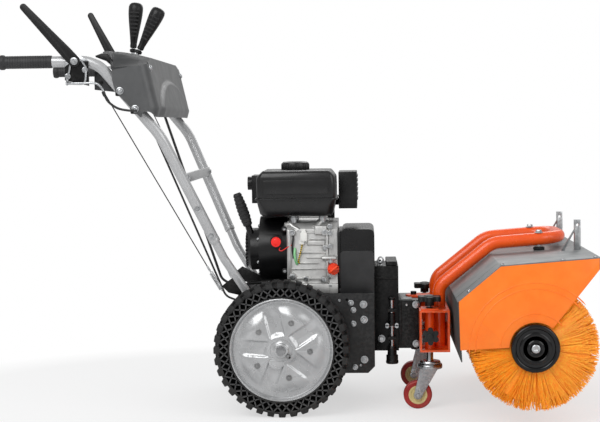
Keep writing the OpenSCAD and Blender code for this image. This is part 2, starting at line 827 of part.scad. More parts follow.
module pulley(x, y, z, groove_r) {
    xcyl(x - groove_w / 2, x + groove_w / 2, y, z, groove_r);
    for (s = [-1, 1]) xcyl(x + s * (groove_w + flange_t) / 2 - flange_t / 2,
        x + s * (groove_w + flange_t) / 2 + flange_t / 2, y, z, groove_r + pulley_lip);
}
blade_count = 14;
blade_t = 3;
blade_h = 10;
module crankshaft() {
    mid = (case_x0 + case_wall + case_x1) / 2;
    color("silver") placed() {
        xcyl(crank_x0, mid - web_gap / 2, 0, crank_z, crank_r);
        xcyl(mid + web_gap / 2, crank_x1, 0, crank_z, crank_r);
        for (s = [-1, 1]) xcyl(mid + s * (web_gap + crank_web_t) / 2 - crank_web_t / 2,
            mid + s * (web_gap + crank_web_t) / 2 + crank_web_t / 2, 0, crank_z, web_r);
        xcyl(mid - web_gap / 2, mid + web_gap / 2, 0, crank_z + crank_pin_off, crank_pin_r);
        xcyl(fly_x0 + blade_h, fly_x1, 0, crank_z, flywheel_r);
        for (i = [0 : blade_count - 1]) translate([fly_x0, 0, crank_z]) rotate([i * 360 / blade_count, 0,
            0])
            translate([0, flywheel_r / 2, -blade_t / 2]) cube([blade_h + over, flywheel_r / 2 - blade_t,
                blade_t]);
        pulley(belt1_x, 0, crank_z, crank_pulley_r);
        pulley(belt2_x, 0, crank_z, crank_pulley_r);
    }
}
cowl_wall = 3;
cowl_hole_r = 50;
button_x = -20;
button_z = 445;
button_r = 13;
button_stem_r = 6;
button_boss_r = 17;
button_boss_y = -97;
button_gap = 5;
button_h = 9;
button_depth = 16;
module fan_cowl() {
    color("black") placed() difference() {
        union() {
            xcyl(cowl_x, case_x0, 0, crank_z, cowl_r);
            ycyl(button_x, button_z, button_boss_r, button_boss_y, 0);
        }
        xcyl(cowl_x + cowl_wall, case_x0 + over, 0, crank_z, cowl_r - cowl_wall);
        xcyl(cowl_x - over, case_x0, 0, crank_z, cowl_hole_r);
        ycyl(button_x, button_z, button_stem_r + run_fit, button_boss_y - over, 0);
    }
}
module stop_button() {
    y0 = button_boss_y - button_gap;
    color("red") placed() {
        ycyl(button_x, button_z, button_r, y0 - button_h, y0);
        ycyl(button_x, button_z, button_stem_r, y0, y0 + button_depth - cowl_wall);
    }
}
recoil_flange_r = 68;
recoil_flange_t = 3;
recoil_edge = 12;
guide_r = 9;
guide_len = 26;
guide_bore_r = 4;
pull_y = -30;
pull_dir = unit([-0.32, 0, 0.947]);
pull_start = [-92, pull_y, 458];
module recoil_cover() {
    color("black") placed() difference() {
        union() {
            translate([cowl_x, 0, crank_z]) rotate([0, -90, 0]) rotate_extrude() polygon([[0, 0],
                [recoil_flange_r, 0], [recoil_flange_r, recoil_flange_t], [recoil_r, recoil_flange_t],
                [recoil_r, cowl_x - recoil_x - recoil_edge], [recoil_r - recoil_edge, cowl_x - recoil_x],
                [0, cowl_x - recoil_x]]);
            along(pull_start, pull_start + pull_dir) cylinder(r = guide_r, h = guide_len);
        }
        translate([cowl_x + over, 0, crank_z]) rotate([0, -90, 0]) rotate_extrude() polygon([[0, 0],
            [recoil_r - cowl_wall, 0], [recoil_r - cowl_wall, cowl_x - recoil_x - recoil_edge],
            [recoil_r - recoil_edge, cowl_x - recoil_x - cowl_wall + over], [0,
                cowl_x - recoil_x - cowl_wall + over]]);
        along(pull_start, pull_start + pull_dir) translate([0, 0, -guide_len]) cylinder(r = guide_bore_r,
            h = 3 * guide_len);
    }
}
rope_r = 3;
pull_len = 96;
pull_r = 13;
pull_ribs = 9;
pull_rib = 2;
module starter_handle() {
    rib_step = pull_len / (2 * pull_ribs);
    color("black") placed() along(pull_start, pull_start + pull_dir) {
        translate([0, 0, guide_len - guide_len / 2]) cylinder(r = rope_r, h = guide_len);
        translate([0, 0, guide_len + seat_gap]) {
            cylinder(r = pull_r - pull_rib, h = pull_len);
            for (i = [0 : pull_ribs - 1]) translate([0, 0, rib_step * 2 * i]) cylinder(r = pull_r,
                h = rib_step);
        }
    }
}
barrel_half = 48;
barrel_len = 96;
barrel_tilt = 25;
fin_count = 6;
fin_gap = 6;
fin_deep = 16;
head_len = 26;
valve_inset = 12;
module cylinder_head() {
    mid = (case_x0 + case_x1) / 2;
    fin_step = (barrel_len - head_len) / fin_count;
    color("darkgray") placed() intersection() {
        box(case_x0, case_x1, case_half, 3 * case_half, deck_z, 2 * deck_z);
        translate([mid, case_half, crank_z]) rotate([-90 + barrel_tilt, 0, 0]) difference() {
            union() {
                translate([-barrel_half, -barrel_half, -barrel_half]) cube([2 * barrel_half,
                    2 * barrel_half,
                    barrel_half + barrel_len]);
                translate([-barrel_half + valve_inset, -barrel_half + valve_inset, barrel_len])
                    cube([2 * (barrel_half - valve_inset), 2 * (barrel_half - valve_inset), head_len]);
            }
            for (i = [1 : fin_count]) translate([0, 0, i * fin_step]) difference() {
                translate([-2 * barrel_half, -2 * barrel_half, 0]) cube([4 * barrel_half,
                    4 * barrel_half, fin_gap]);
                translate([-barrel_half - over, -barrel_half + fin_deep, -over])
                    cube([2 * barrel_half + 2 * over, 2 * (barrel_half - fin_deep), fin_gap + 2 * over]);
            }
        }
    }
}
tank_wall = 3;
tank_corner = 26;
tank_low_inset = 16;
tank_flange = 4;
tank_flange_t = 5;
tank_side_inset = 8;
neck_r = 27;
neck_h = 9;
neck_wall = 3;
module tank_upper(shrink) {
    intersection() {
        slab(tank_y0 + shrink, tank_y1 - shrink) polygon([[tank_x0 + shrink, tank_seam_z],
            [tank_x1 - shrink, tank_seam_z], [tank_x1 - shrink, tank_z1 - tank_corner],
            [tank_x1 - tank_corner - shrink, tank_z1 - shrink], [tank_x0 + tank_corner + shrink,
                tank_z1 - shrink],
            [tank_x0 + shrink, tank_z1 - tank_corner]]);
        translate([tank_x0, 0, 0]) rotate([90, 0, 90]) linear_extrude(height = tank_x1 - tank_x0) polygon([
            [tank_y0 + shrink, tank_seam_z], [tank_y1 - shrink, tank_seam_z],
            [tank_y1 - shrink, tank_z1 - tank_corner], [tank_y1 - tank_corner - shrink, tank_z1 - shrink],
            [tank_y0 + tank_side_inset + tank_corner + shrink, tank_z1 - shrink],
            [tank_y0 + tank_side_inset + shrink, tank_z1 - tank_corner]]);
    }
}
module tank_lower(shrink) {
    slab(tank_y0 + tank_side_inset + shrink, tank_y1 - tank_side_inset - shrink) polygon([
        [tank_x0 + shrink, tank_seam_z], [tank_x0 + shrink, tank_z0 + tank_low_inset],
        [tank_x0 + tank_low_inset + shrink, tank_z0 + shrink], [tank_x1 - tank_low_inset - shrink,
            tank_z0 + shrink],
        [tank_x1 - shrink, tank_z0 + tank_low_inset], [tank_x1 - shrink, tank_seam_z]]);
}
module fuel_tank() {
    color("black") placed() difference() {
        union() {
            tank_upper(0);
            tank_lower(0);
            box(tank_x0 - tank_flange, tank_x1 + tank_flange, tank_y0 - tank_flange, tank_y1 + tank_flange,
                tank_seam_z - tank_flange_t, tank_seam_z);
            zcyl(cap_x, cap_y, neck_r, tank_z1 - tank_wall, tank_z1 + neck_h);
        }
        tank_upper(tank_wall);
        tank_lower(tank_wall);
        box(tank_x0 + tank_wall, tank_x1 - tank_wall, tank_y0 + tank_side_inset + tank_wall,
            tank_y1 - tank_side_inset - tank_wall, tank_seam_z - tank_flange_t - over, tank_seam_z + over);
        zcyl(cap_x, cap_y, neck_r - neck_wall, tank_z1 - tank_wall - over, tank_z1 + neck_h + over);
    }
}
cap_ribs = 16;
cap_rib_r = 2.5;
cap_seat = 2;
module fuel_cap() {
    z0 = tank_z1 + cap_seat;
    color("black") placed() difference() {
        union() {
            zcyl(cap_x, cap_y, cap_r - cap_rib_r, z0, z0 + cap_h);
            for (i = [0 : cap_ribs - 1]) translate([cap_x, cap_y, 0]) rotate(i * 360 / cap_ribs)
                zcyl(cap_r - cap_rib_r, 0, cap_rib_r, z0, z0 + cap_h - cap_rib_r);
        }
        zcyl(cap_x, cap_y, neck_r + seat_gap, z0 - over, tank_z1 + neck_h + seat_gap);
    }
}
post_r = 9;
post_near_y = -76;
post_far_y = 44;
post_inset = 18;
module tank_posts() {
    for (x = [case_x0 + post_inset, case_x1 - post_inset], y = [post_near_y, post_far_y])
        zcyl(x, y, post_r, case_top_z, tank_z0);
}
muf_x0 = 152;
muf_x1 = 195;
muf_y0 = 20;
muf_y1 = 150;
muf_z0 = 530;
muf_z1 = 624;
guard_t = 4;
guard_slots = 6;
slot_gap = 6;
pipe_z = 470;
pipe_w = 20;
pipe_y = 126;
module muffler() {
    pipe_x = (case_x0 + case_x1) / 2 + barrel_half;
    step = (muf_z1 - muf_z0) / (guard_slots + 1);
    color("dimgray") placed() {
        box(muf_x0, muf_x1, muf_y0, muf_y1, muf_z0, muf_z1);
        difference() {
            box(muf_x0 - guard_t, muf_x1 + guard_t, muf_y0 - guard_t, muf_y1, muf_z0 - guard_t,
                muf_z1 + guard_t);
            for (i = [1 : guard_slots]) box(muf_x1, muf_x1 + guard_t + over, muf_y0 + 2 * guard_t,
                muf_y1 - 2 * guard_t, muf_z0 + i * step - slot_gap / 2, muf_z0 + i * step + slot_gap / 2);
        }
        box(pipe_x, pipe_x + pipe_w, pipe_y, pipe_y + pipe_w, pipe_z, muf_z0 + pipe_w);
        box(pipe_x, muf_x0, pipe_y, pipe_y + pipe_w, muf_z0, muf_z0 + pipe_w);
    }
}
air_x0 = -98;
air_x1 = -40;
air_y0 = 74;
air_y1 = 166;
air_z0 = 540;
air_z1 = 618;
air_knob_r = 19;
air_knob_h = 12;
air_knob_z = 596;
air_knob_y = 92;
duct_z = 548;
duct_w = 26;
duct_y = 126;
duct_foot_z = 440;
module air_cleaner() {
    mid = (case_x0 + case_x1) / 2;
    color("black") placed() {
        box(air_x0, air_x1, air_y0, air_y1, air_z0, air_z1);
        xcyl(air_x0 - air_knob_h, air_x0, air_knob_y, air_knob_z, air_knob_r);
        box(air_x1, mid - barrel_half, duct_y, duct_y + duct_w, duct_z, duct_z + duct_w);
        box(mid - barrel_half - duct_w, mid - barrel_half, duct_y, duct_y + duct_w, duct_foot_z, duct_z);
    }
}
cover_round = 14;
cover_step_z = 388;
cover_step = 6;
cover_hole_r = 34;
module cover_outline(shrink) {
    polygon([[cover_x0 + shrink, deck_z], [cover_x0 + shrink, cover_top_z - cover_round],
        [cover_x0 + cover_round, cover_top_z - shrink], [cover_x1 - cover_round, cover_top_z - shrink],
        [cover_x1 - shrink, cover_top_z - cover_round], [cover_x1 - shrink, cover_step_z],
        [cover_x1 - cover_step - shrink, cover_step_z], [cover_x1 - cover_step - shrink, deck_z]]);
}
module belt_cover() {
    color("black") placed() difference() {
        slab(-cover_half, cover_half) cover_outline(0);
        difference() {
            slab(-cover_half + cover_wall, cover_half - cover_wall) cover_outline(cover_wall);
        }
        box(cover_x0 + cover_wall, cover_x1 - cover_step - cover_wall, -cover_half + cover_wall,
            cover_half - cover_wall, deck_z - over, deck_z + over);
        xcyl(cover_x0 - over, cover_x0 + cover_wall + over, 0, crank_z, cover_hole_r);
    }
}
belt_fit = 0.4;
module belt_loop(x) {
    translate([x - belt_w / 2, 0, 0]) rotate([90, 0, 90]) linear_extrude(height = belt_w) difference() {
        hull() {
            translate([0, crank_z]) circle(crank_pulley_r + belt_fit + belt_t);
            translate([0, drive_z]) circle(low_pulley_r + belt_fit + belt_t);
        }
        hull() {
            translate([0, crank_z]) circle(crank_pulley_r + belt_fit);
            translate([0, drive_z]) circle(low_pulley_r + belt_fit);
        }
    }
}
module drive_belts() {
    color("black") placed() {
        belt_loop(belt1_x);
        belt_loop(belt2_x);
    }
}

// Shafts of the drive
brush_shaft_x0 = 201;
coupling_r = 16;
coupling_gap = 4;
coupling_len = 20;
module brush_shaft() {
    color("silver") placed() {
        xcyl(brush_shaft_x0, swivel_x - coupling_gap, 0, drive_z, shaft_r);
        pulley(belt2_x, 0, drive_z, low_pulley_r);
        xcyl(swivel_x - coupling_gap - coupling_len, swivel_x - coupling_gap, 0, drive_z, coupling_r);
    }
}
traction_x1 = 192;
module traction_disc() {
    color("silver") placed() {
        xcyl(disc_x0, disc_x0 + disc_t, 0, drive_z, disc_r);
        xcyl(disc_x0, traction_x1, 0, drive_z, shaft_r);
        pulley(belt1_x, 0, drive_z, low_pulley_r);
    }
}
gear_y = 66;
gear_w = 12;
friction_y = -40;
friction_w = 14;
hex_end = 20;
module hex_shaft() {
    phase = atan2(hex_z - wheel_r, hex_x);
    color("silver") placed() {
        ycyl(hex_x, hex_z, hex_r, -housing_half - hex_end, housing_half + hex_end);
        ycyl(hex_x, hex_z, friction_r, friction_y - friction_w / 2, friction_y + friction_w / 2);
        translate([hex_x, gear_y + gear_w / 2, hex_z]) rotate([90, 0, 0]) rotate(phase + 180)
            linear_extrude(height = gear_w) polygon(gear_points(pinion_teeth, pinion_r));
    }
}
axle_over = 16;
module axle() {
    phase = atan2(hex_z - wheel_r, hex_x);
    color("silver") placed() {
        ycyl(0, wheel_r, axle_r, -track_half - axle_over, track_half + axle_over);
        translate([0, gear_y + gear_w / 2, wheel_r]) rotate([90, 0, 0]) rotate(phase + 180 / gear_teeth)
            linear_extrude(height = gear_w) polygon(gear_points(gear_teeth, gear_r));
    }
}
tyre_shoulder = 16;
lug_w_share = 0.46;
module tyre() {
    lug_w = wheel_w * lug_w_share;
    body_r = wheel_r - lug_h;
    translate([0, -track_half, wheel_r]) rotate([-90, 0, 0]) {
        rotate_extrude($fn = 128) polygon([[rim_r + run_fit, 0], [body_r - tyre_shoulder, 0],
            [body_r, tyre_shoulder], [body_r, wheel_w - tyre_shoulder], [body_r - tyre_shoulder, wheel_w],
            [rim_r + run_fit, wheel_w]]);
        intersection() {
            cylinder(r = wheel_r, h = wheel_w, $fn = 128);
            for (i = [0 : lug_count - 1], s = [0, 1]) rotate((i + s / 2) * 360 / lug_count)
                translate([body_r - tyre_shoulder, -lug_len / 2, s * (wheel_w - lug_w)])
                cube([lug_h + tyre_shoulder + over, lug_len, lug_w]);
        }
    }
}
module tyres() { color("black") placed() both() tyre(); }
band_t = 4;
band_inset = 5;
rim_dish = 14;
disc_wall = 4;
hub_in = 26;
hub_out = 8;
module rim() {
    translate([0, -track_half, wheel_r]) rotate([-90, 0, 0]) rotate_extrude($fn = 128) polygon([
        [axle_r + run_fit, -hub_out], [hub_r, -hub_out], [hub_r, rim_dish],
        [rim_r - rim_dish, rim_dish], [rim_r - band_t, band_inset],
        [rim_r, band_inset], [rim_r, wheel_w - band_inset], [rim_r - band_t, wheel_w - band_inset],
        [rim_r - band_t, rim_dish + disc_wall], [rim_r - rim_dish, rim_dish + disc_wall], [hub_r,
            rim_dish + disc_wall],
        [hub_r, hub_in + rim_dish], [axle_r + run_fit, hub_in + rim_dish]]);
}
module rims() { color("silver") placed() both() rim(); }

// Head
tongue_t = 6;
tongue_r = 22;
riser_half = 40;
web_half = 126;
bay_in = 118;
holder_r = 13;
clamp_y = 190;
clamp_z = 200;
clamp_r = 5;
clamp_boss_r = 9;
clamp_boss_y = 172;
spindle_r = 5;
spindle_z0 = 205;
loop_foot_x = 417;
module tongue(z0) {
    difference() {
        union() {
            zcyl(swivel_x, 0, tongue_r, z0, z0 + tongue_t);
            box(swivel_x, web_x + bracket_t, -tongue_r, tongue_r, z0, z0 + tongue_t);
        }
        zcyl(swivel_x, 0, kingpin_r + run_fit, z0 - over, z0 + tongue_t + over);
    }
}
module bracket_half_shape() {
    z0 = bracket_z0;
    z1 = bracket_z1;
    t = bracket_t;
    for (z = [z0, z1 - t]) {
        box(bracket_x0, bracket_x1, -bracket_half, -bay_in, z, z + t);
        box(web_x, bracket_x1, -bay_in - over, 0, z, z + t);
    }
    box(web_x, web_x + t, -web_half, 0, z0, z1);
    box(bracket_x1 - t, bracket_x1, -bracket_half, 0, z0, z1);
    box(bracket_x0, bracket_x0 + t, -bracket_half, -bay_in, z0, z1);
    zcyl(stem_x, -stem_y, holder_r, z0, z1);
    ycyl(stem_x, clamp_z, clamp_boss_r, -clamp_boss_y, -stem_y);
}
module swivel_bracket() {
    top_z = arm_z1 + seat_gap;
    low_z = arm_z0 - seat_gap - tongue_t;
    color("orangered") placed() difference() {
        union() {
            both() bracket_half_shape();
            tongue(top_z);
            tongue(low_z);
            box(web_x, web_x + bracket_t, -riser_half, riser_half, low_z, top_z + tongue_t);
        }
        both() {
            zcyl(stem_x, -stem_y, stem_r + run_fit, bracket_z0 - over, bracket_z1 - bracket_t);
            zcyl(stem_x, -stem_y, spindle_r + run_fit, bracket_z1 - bracket_t - over, bracket_z1 + over);
            ycyl(stem_x, clamp_z, clamp_r + run_fit, -clamp_boss_y - over, -stem_y);
            zcyl(loop_foot_x, -loop_y, loop_r + run_fit, bracket_z1 - bracket_t - over, bracket_z1 + over);
        }
        xcyl(web_x - over, bracket_x1 + over, 0, drive_z, shaft_way_r);
    }
}
loop_knee_z = 322;
loop_shoulder_x = 560;
loop_shoulder_z = 437;
loop_set = 54;
loop_front_x = hood_front_x - loop_set;
loop_front_z = 451;
loop_knee_bend = 44;
loop_shoulder_bend = 70;
loop_front_bend = 62;
mount_set = 60;
mount_xs = [loop_front_x - mount_set];
mount_r = 7;
mount_in_share = 0.88;
function loop_line(x) = loop_shoulder_z + (loop_front_z - loop_shoulder_z) * (x - loop_shoulder_x)
    / (loop_front_x - loop_shoulder_x);
module hood_mounts() {
    for (x = mount_xs) difference() {
        zcyl(x, -loop_y, mount_r, hood_mid_z, loop_line(x) - loop_r * mount_in_share);
        slab(-hood_half, hood_half) polygon([[hood_rear_x, hood_rear_z - hood_mid_z],
            [hood_rear_x, hood_rear_z + hood_t],
            [hood_mid_x, hood_mid_z + hood_t], [hood_front_x, hood_front_z + hood_t],
            [hood_front_x, hood_rear_z - hood_mid_z]]);
    }
}
module loop_tube() {
    side = [[loop_foot_x, -loop_y, bracket_z0 + bracket_t], [loop_foot_x, -loop_y, loop_knee_z],
        [loop_shoulder_x, -loop_y, loop_shoulder_z], [loop_front_x, -loop_y, loop_front_z]];
    other = [for (i = [3 : -1 : 0]) [side[i][0], -side[i][1], side[i][2]]];
    color("orangered") placed() {
        both() hood_mounts();
        bent_tube(concat(side, other), [0, loop_knee_bend, loop_shoulder_bend, loop_front_bend,
            loop_front_bend, loop_shoulder_bend, loop_knee_bend, 0], loop_r, loop_r - loop_wall);
    }
}
function hood_line(x) = x < hood_mid_x
    ? hood_rear_z + (hood_mid_z - hood_rear_z) * (x - hood_rear_x) / (hood_mid_x - hood_rear_x)
    : hood_mid_z + (hood_front_z - hood_mid_z) * (x - hood_mid_x) / (hood_front_x - hood_mid_x);
module hood_top() {
    color("gray") placed() slab(-hood_half, hood_half) polygon([[hood_rear_x, hood_rear_z],
        [hood_mid_x, hood_mid_z], [hood_front_x - hood_t, hood_front_z], [hood_front_x - hood_t,
            hood_front_z - hood_lip],
        [hood_front_x, hood_front_z - hood_lip], [hood_front_x, hood_front_z + hood_t],
        [hood_mid_x, hood_mid_z + hood_t], [hood_rear_x, hood_rear_z + hood_t]]);
}
hub_clear = 4;
nose_set = 48;
belly_set = 64;
panel_nose_x = hood_front_x - nose_set;
panel_nose_z = 337;
panel_belly_x = panel_nose_x - belly_set;
panel_belly_z = 256;
panel_low_x = 453;
panel_low_z = 196;
panel_step_x = 578;
panel_step_z = 202;
module hood_sides() {
    color("darkorange") placed() both() slab(-hood_half, -hood_half + hood_t) difference() {
        polygon([[hood_rear_x + hood_t, hood_line(hood_rear_x + hood_t)], [hood_mid_x, hood_mid_z],
            [hood_front_x - hood_t, hood_front_z], [hood_front_x - hood_t, hood_front_z - hood_lip],
            [panel_nose_x, panel_nose_z], [panel_belly_x, panel_belly_z], [brush_x, drive_z],
            [panel_step_x, panel_step_z], [panel_low_x, panel_low_z]]);
        translate([brush_x, drive_z]) circle(end_cap_r + hub_clear);
    }
}
flap_foot_x = 455;
flap_foot_z = 166;
module rear_flap() {
    color("darkslategray") placed() difference() {
        slab(-hood_half + hood_t, hood_half - hood_t) polygon([[hood_rear_x, hood_rear_z],
            [hood_rear_x + hood_t, hood_line(hood_rear_x + hood_t)], [flap_foot_x + hood_t, flap_foot_z],
            [flap_foot_x, flap_foot_z]]);
        xcyl(hood_rear_x - over, flap_foot_x + hood_t + over, 0, drive_z, shaft_way_r);
    }
}
gear_half = 50;
case_w = 46;
case_shell = 5;
neck_half_x = 26;
neck_half_y = 30;
module brush_gearcase() {
    color("black") placed() difference() {
        union() {
            box(brush_x - gear_half, brush_x + gear_half, -case_w, case_w, drive_z - gear_half,
                drive_z + gear_half);
            slab(-neck_half_y, neck_half_y) polygon([[brush_x - neck_half_x, drive_z],
                [brush_x + neck_half_x, drive_z],
                [brush_x + neck_half_x, hood_line(brush_x + neck_half_x)],
                [brush_x - neck_half_x, hood_line(brush_x - neck_half_x)]]);
            xcyl(brush_x - gear_half - case_shell, brush_x, 0, drive_z, front_boss_r);
        }
        box(brush_x - gear_half + case_shell, brush_x + gear_half - case_shell, -case_w + case_shell,
            case_w - case_shell, drive_z - gear_half + case_shell, drive_z + gear_half - case_shell);
        ycyl(brush_x, drive_z, axle_r + run_fit, -case_w - over, case_w + over);
        xcyl(brush_x - gear_half - case_shell - over, brush_x, 0, drive_z, shaft_r + run_fit);
    }
}
bevel_h = 11;
module bevel_gear(phase) {
    rotate(phase) linear_extrude(height = bevel_h, scale = (bevel_r - bevel_h) / bevel_r)
        polygon(gear_points(bevel_teeth, bevel_r));
}
module head_shaft() {
    color("silver") placed() {
        xcyl(swivel_x + coupling_gap, brush_x - bevel_r + bevel_h, 0, drive_z, shaft_r);
        xcyl(swivel_x + coupling_gap, swivel_x + coupling_gap + coupling_len, 0, drive_z, coupling_r);
        translate([brush_x - bevel_r, 0, drive_z]) rotate([0, 90, 0]) bevel_gear(90);
    }
}
core_wall = 3;
carrier_t = 8;
carrier_r = (core_r - core_wall) * cos(180 / strands_round) - sleeve_fit;
cap_depth = 12;
cap_dish = 5;
cap_rim = 12;
tip_over = 8;
module brush_axle() {
    color("black") placed() {
        ycyl(brush_x, drive_z, axle_r, -hood_half - tip_over, hood_half + tip_over);
        translate([brush_x, -bevel_r, drive_z]) rotate([-90, 0, 0]) bevel_gear(180 + 180 / bevel_teeth);
        both() for (y = [brush_gap, (brush_gap + brush_end) / 2, brush_end - carrier_t])
            ycyl(brush_x, drive_z, carrier_r, -y - carrier_t, -y);
        both() translate([brush_x, -hood_half - hood_t, drive_z]) rotate([-90, 0,
            0]) rotate_extrude() polygon([
            [0, cap_dish], [end_cap_r - cap_rim, cap_dish], [end_cap_r - cap_rim / 2, 0], [end_cap_r,
                cap_dish],
            [end_cap_r, cap_depth], [0, cap_depth]]);
    }
}

// Bristles, one closed surface a half: a backing tube whose cells grow into strands, every other cell
tip_share = 0.14;
tip_y_share = 0.4;
strand_w = brush_end - brush_gap;
function core_y(j) = -brush_gap - strand_w * j / strand_rows;
function on_brush(r, a, y) = [brush_x + r * cos(a), y, drive_z + r * sin(a)];
step_a = 360 / strands_round;
function core_index(i, j) = j * strands_round + i % strands_round;
core_count = strands_round * (strand_rows + 1);
cells = [for (j = [0 : strand_rows - 1], i = [0 : strands_round - 1]) [i, j]];
grown = [for (c = cells) if ((c[0] + c[1]) % 2 == 0) c];
tip_pts = [for (c = grown) let (a = (c[0] + 0.5) * step_a, y = (core_y(c[1]) + core_y(c[1] + 1)) / 2,
    da = step_a * tip_share / 2, dy = strand_w / strand_rows * tip_y_share / 2)
    each [on_brush(brush_r, a - da, y + dy), on_brush(brush_r, a + da, y + dy),
        on_brush(brush_r, a + da, y - dy), on_brush(brush_r, a - da, y - dy)]];
core_pts = [for (j = [0 : strand_rows], i = [0 : strands_round - 1]) on_brush(core_r, i * step_a,
    core_y(j))];
bore_pts = [for (y = [core_y(0), core_y(strand_rows)], i = [0 : strands_round - 1])
    on_brush(core_r - core_wall, i * step_a, y)];
function quad(a, b, c, d) = [[a, b, c], [a, c, d]];
function cell_corners(c) = [core_index(c[0], c[1]), core_index(c[0] + 1, c[1]),
    core_index(c[0] + 1, c[1] + 1), core_index(c[0], c[1] + 1)];
flat_faces = [for (c = cells) if ((c[0] + c[1]) % 2 == 1) let (q = cell_corners(c)) each quad(q[0], q[1],
    q[2], q[3])];
strand_faces = [for (k = [0 : len(grown) - 1]) let (q = cell_corners(grown[k]), t = core_count + 4 * k)
    each concat([for (s = [0 : 3]) each quad(q[s], q[(s + 1) % 4], t + (s + 1) % 4, t + s)],
        quad(t, t + 1, t + 2, t + 3))];
bore_start = core_count + 4 * len(grown);
function bore_index(i, e) = bore_start + e * strands_round + i % strands_round;
bore_faces = [for (i = [0 : strands_round - 1]) each concat(
    quad(bore_index(i + 1, 0), bore_index(i, 0), bore_index(i, 1), bore_index(i + 1, 1)),
    quad(core_index(i + 1, 0), core_index(i, 0), bore_index(i, 0), bore_index(i + 1, 0)),
    quad(core_index(i, strand_rows), core_index(i + 1, strand_rows), bore_index(i + 1, 1), bore_index(i,
        1)))];
module bristle_half() {
    polyhedron(concat(core_pts, tip_pts, bore_pts), concat(flat_faces, strand_faces, bore_faces));
}
module bristles_right() { color("orange") placed() bristle_half(); }
module bristles_left() { color("orange") placed() mirror([0, 1, 0]) bristle_half(); }

// Collector posts on the hood
coll_inset = 22;
coll_x = hood_front_x - coll_inset;
coll_y = 165;
coll_w = 16;
coll_d = 16;
coll_h = 78;
coll_wall = 2.5;
coll_bore_r = 4.25;
coll_bush_r = 7;
coll_bore_drop = 14;
strut_w = 8;
strut_back = 34;
strut_up = 46;
module collector_posts() {
    z_at = hood_line(coll_x) + hood_t;
    bore_z = z_at + coll_h - coll_bore_drop;
    bush_half = (coll_d - coll_wall) / 2;
    color("silver") placed() both() difference() {
        union() {
            difference() {
                slab(-coll_y - coll_d / 2, -coll_y + coll_d / 2) polygon([
                    [coll_x - coll_w / 2, hood_line(coll_x - coll_w / 2) + hood_t],
                    [coll_x + coll_w / 2, hood_line(coll_x + coll_w / 2) + hood_t],
                    [coll_x + coll_w / 2, z_at + coll_h], [coll_x - coll_w / 2, z_at + coll_h]]);
                box(coll_x - coll_w / 2 + coll_wall, coll_x + coll_w / 2 + over, -coll_y - coll_d / 2
                    + coll_wall, -coll_y + coll_d / 2 - coll_wall, z_at + coll_wall + over,
                    z_at + coll_h + over);
            }
            slab(-coll_y - coll_wall, -coll_y + coll_wall) polygon([
                [coll_x - strut_back - coll_w / 2, hood_line(coll_x - strut_back - coll_w / 2) + hood_t],
                [coll_x - strut_back, hood_line(coll_x - strut_back) + hood_t],
                [coll_x - coll_w / 2, z_at + strut_up], [coll_x - coll_w / 2, z_at + strut_up + strut_w]]);
            ycyl(coll_x, bore_z, coll_bush_r, -coll_y - bush_half, -coll_y + bush_half);
        }
        ycyl(coll_x, bore_z, coll_bore_r, -coll_y - coll_d, -coll_y + coll_d);
    }
}

// Casters
stem_z0 = 121;
stem_z1 = 224;
stem_bore_z = 158;
stem_plate_r = 26;
stem_plate_t = 7;
knob_z = 288;
knob_h = 13;
module caster_stem() {
    translate([stem_x, -stem_y, 0]) difference() {
        union() {
            zcyl(0, 0, stem_r, stem_z0, stem_z1);
            zcyl(0, 0, stem_plate_r, stem_z0, stem_z0 + stem_plate_t);
            zcyl(0, 0, swivel_stub_r, stem_z0 - stub_len, stem_z0);
        }
        zcyl(0, 0, spindle_r + sleeve_fit, stem_bore_z, stem_z1 + over);
    }
}
swivel_stub_r = 6;
stub_len = 14;
fork_plate_r = 32;
fork_plate_t = 12;
fork_wall = 3;
fork_gap = 2;
caster_pin_r = 5;
fork_boss_r = 11;
module caster_fork() {
    in = caster_w / 2 + fork_gap;
    top_z = stem_z0 - seat_gap;
    low_z = top_z - fork_plate_t;
    translate([stem_x, -stem_y, 0]) difference() {
        union() {
            zcyl(0, 0, fork_plate_r, low_z, top_z);
            for (s = [-1, 1]) slab(s * (in + fork_wall / 2) - fork_wall / 2,
                s * (in + fork_wall / 2) + fork_wall / 2)
                union() {
                    polygon([[-caster_trail - fork_boss_r, caster_r], [-caster_trail + fork_boss_r / 2,
                        caster_r - fork_boss_r],
                        [fork_plate_r - fork_plate_t, low_z], [-fork_plate_r + fork_plate_t / 2, low_z]]);
                    translate([-caster_trail, caster_r]) circle(fork_boss_r);
                }
            ycyl(-caster_trail, caster_r, caster_pin_r, -in - fork_wall - over, in + fork_wall + over);
        }
        zcyl(0, 0, swivel_stub_r + run_fit, low_z - over, top_z + over);
    }
}
tread_t = 9;
caster_edge = 3;
module caster_wheel() {
    translate([stem_x - caster_trail, -stem_y, caster_r]) rotate([90, 0, 0]) translate([0, 0,
        -caster_w / 2])
        rotate_extrude() polygon([[caster_pin_r + run_fit, 0], [caster_r - tread_t, 0],
            [caster_r - tread_t + caster_edge, caster_edge], [caster_r - caster_edge, caster_edge],
                [caster_r, 2 * caster_edge],
            [caster_r, caster_w - 2 * caster_edge], [caster_r - caster_edge, caster_w - caster_edge],
            [caster_r - tread_t + caster_edge, caster_w - caster_edge], [caster_r - tread_t, caster_w],
            [caster_pin_r + run_fit, caster_w]]);
}
lobe_r = 7;
knob_core_r = 16;
lobe_count = 6;
wide_core_r = 24;
wide_lobe_r = 9;
wide_neck_r = 12;
module star_knob(core, lobe, h) {
    cylinder(r = core, h = h);
    for (i = [0 : lobe_count - 1]) rotate((i + 0.5) * 360 / lobe_count) translate([core, 0, 0])
        cylinder(r = lobe, h = h);
}
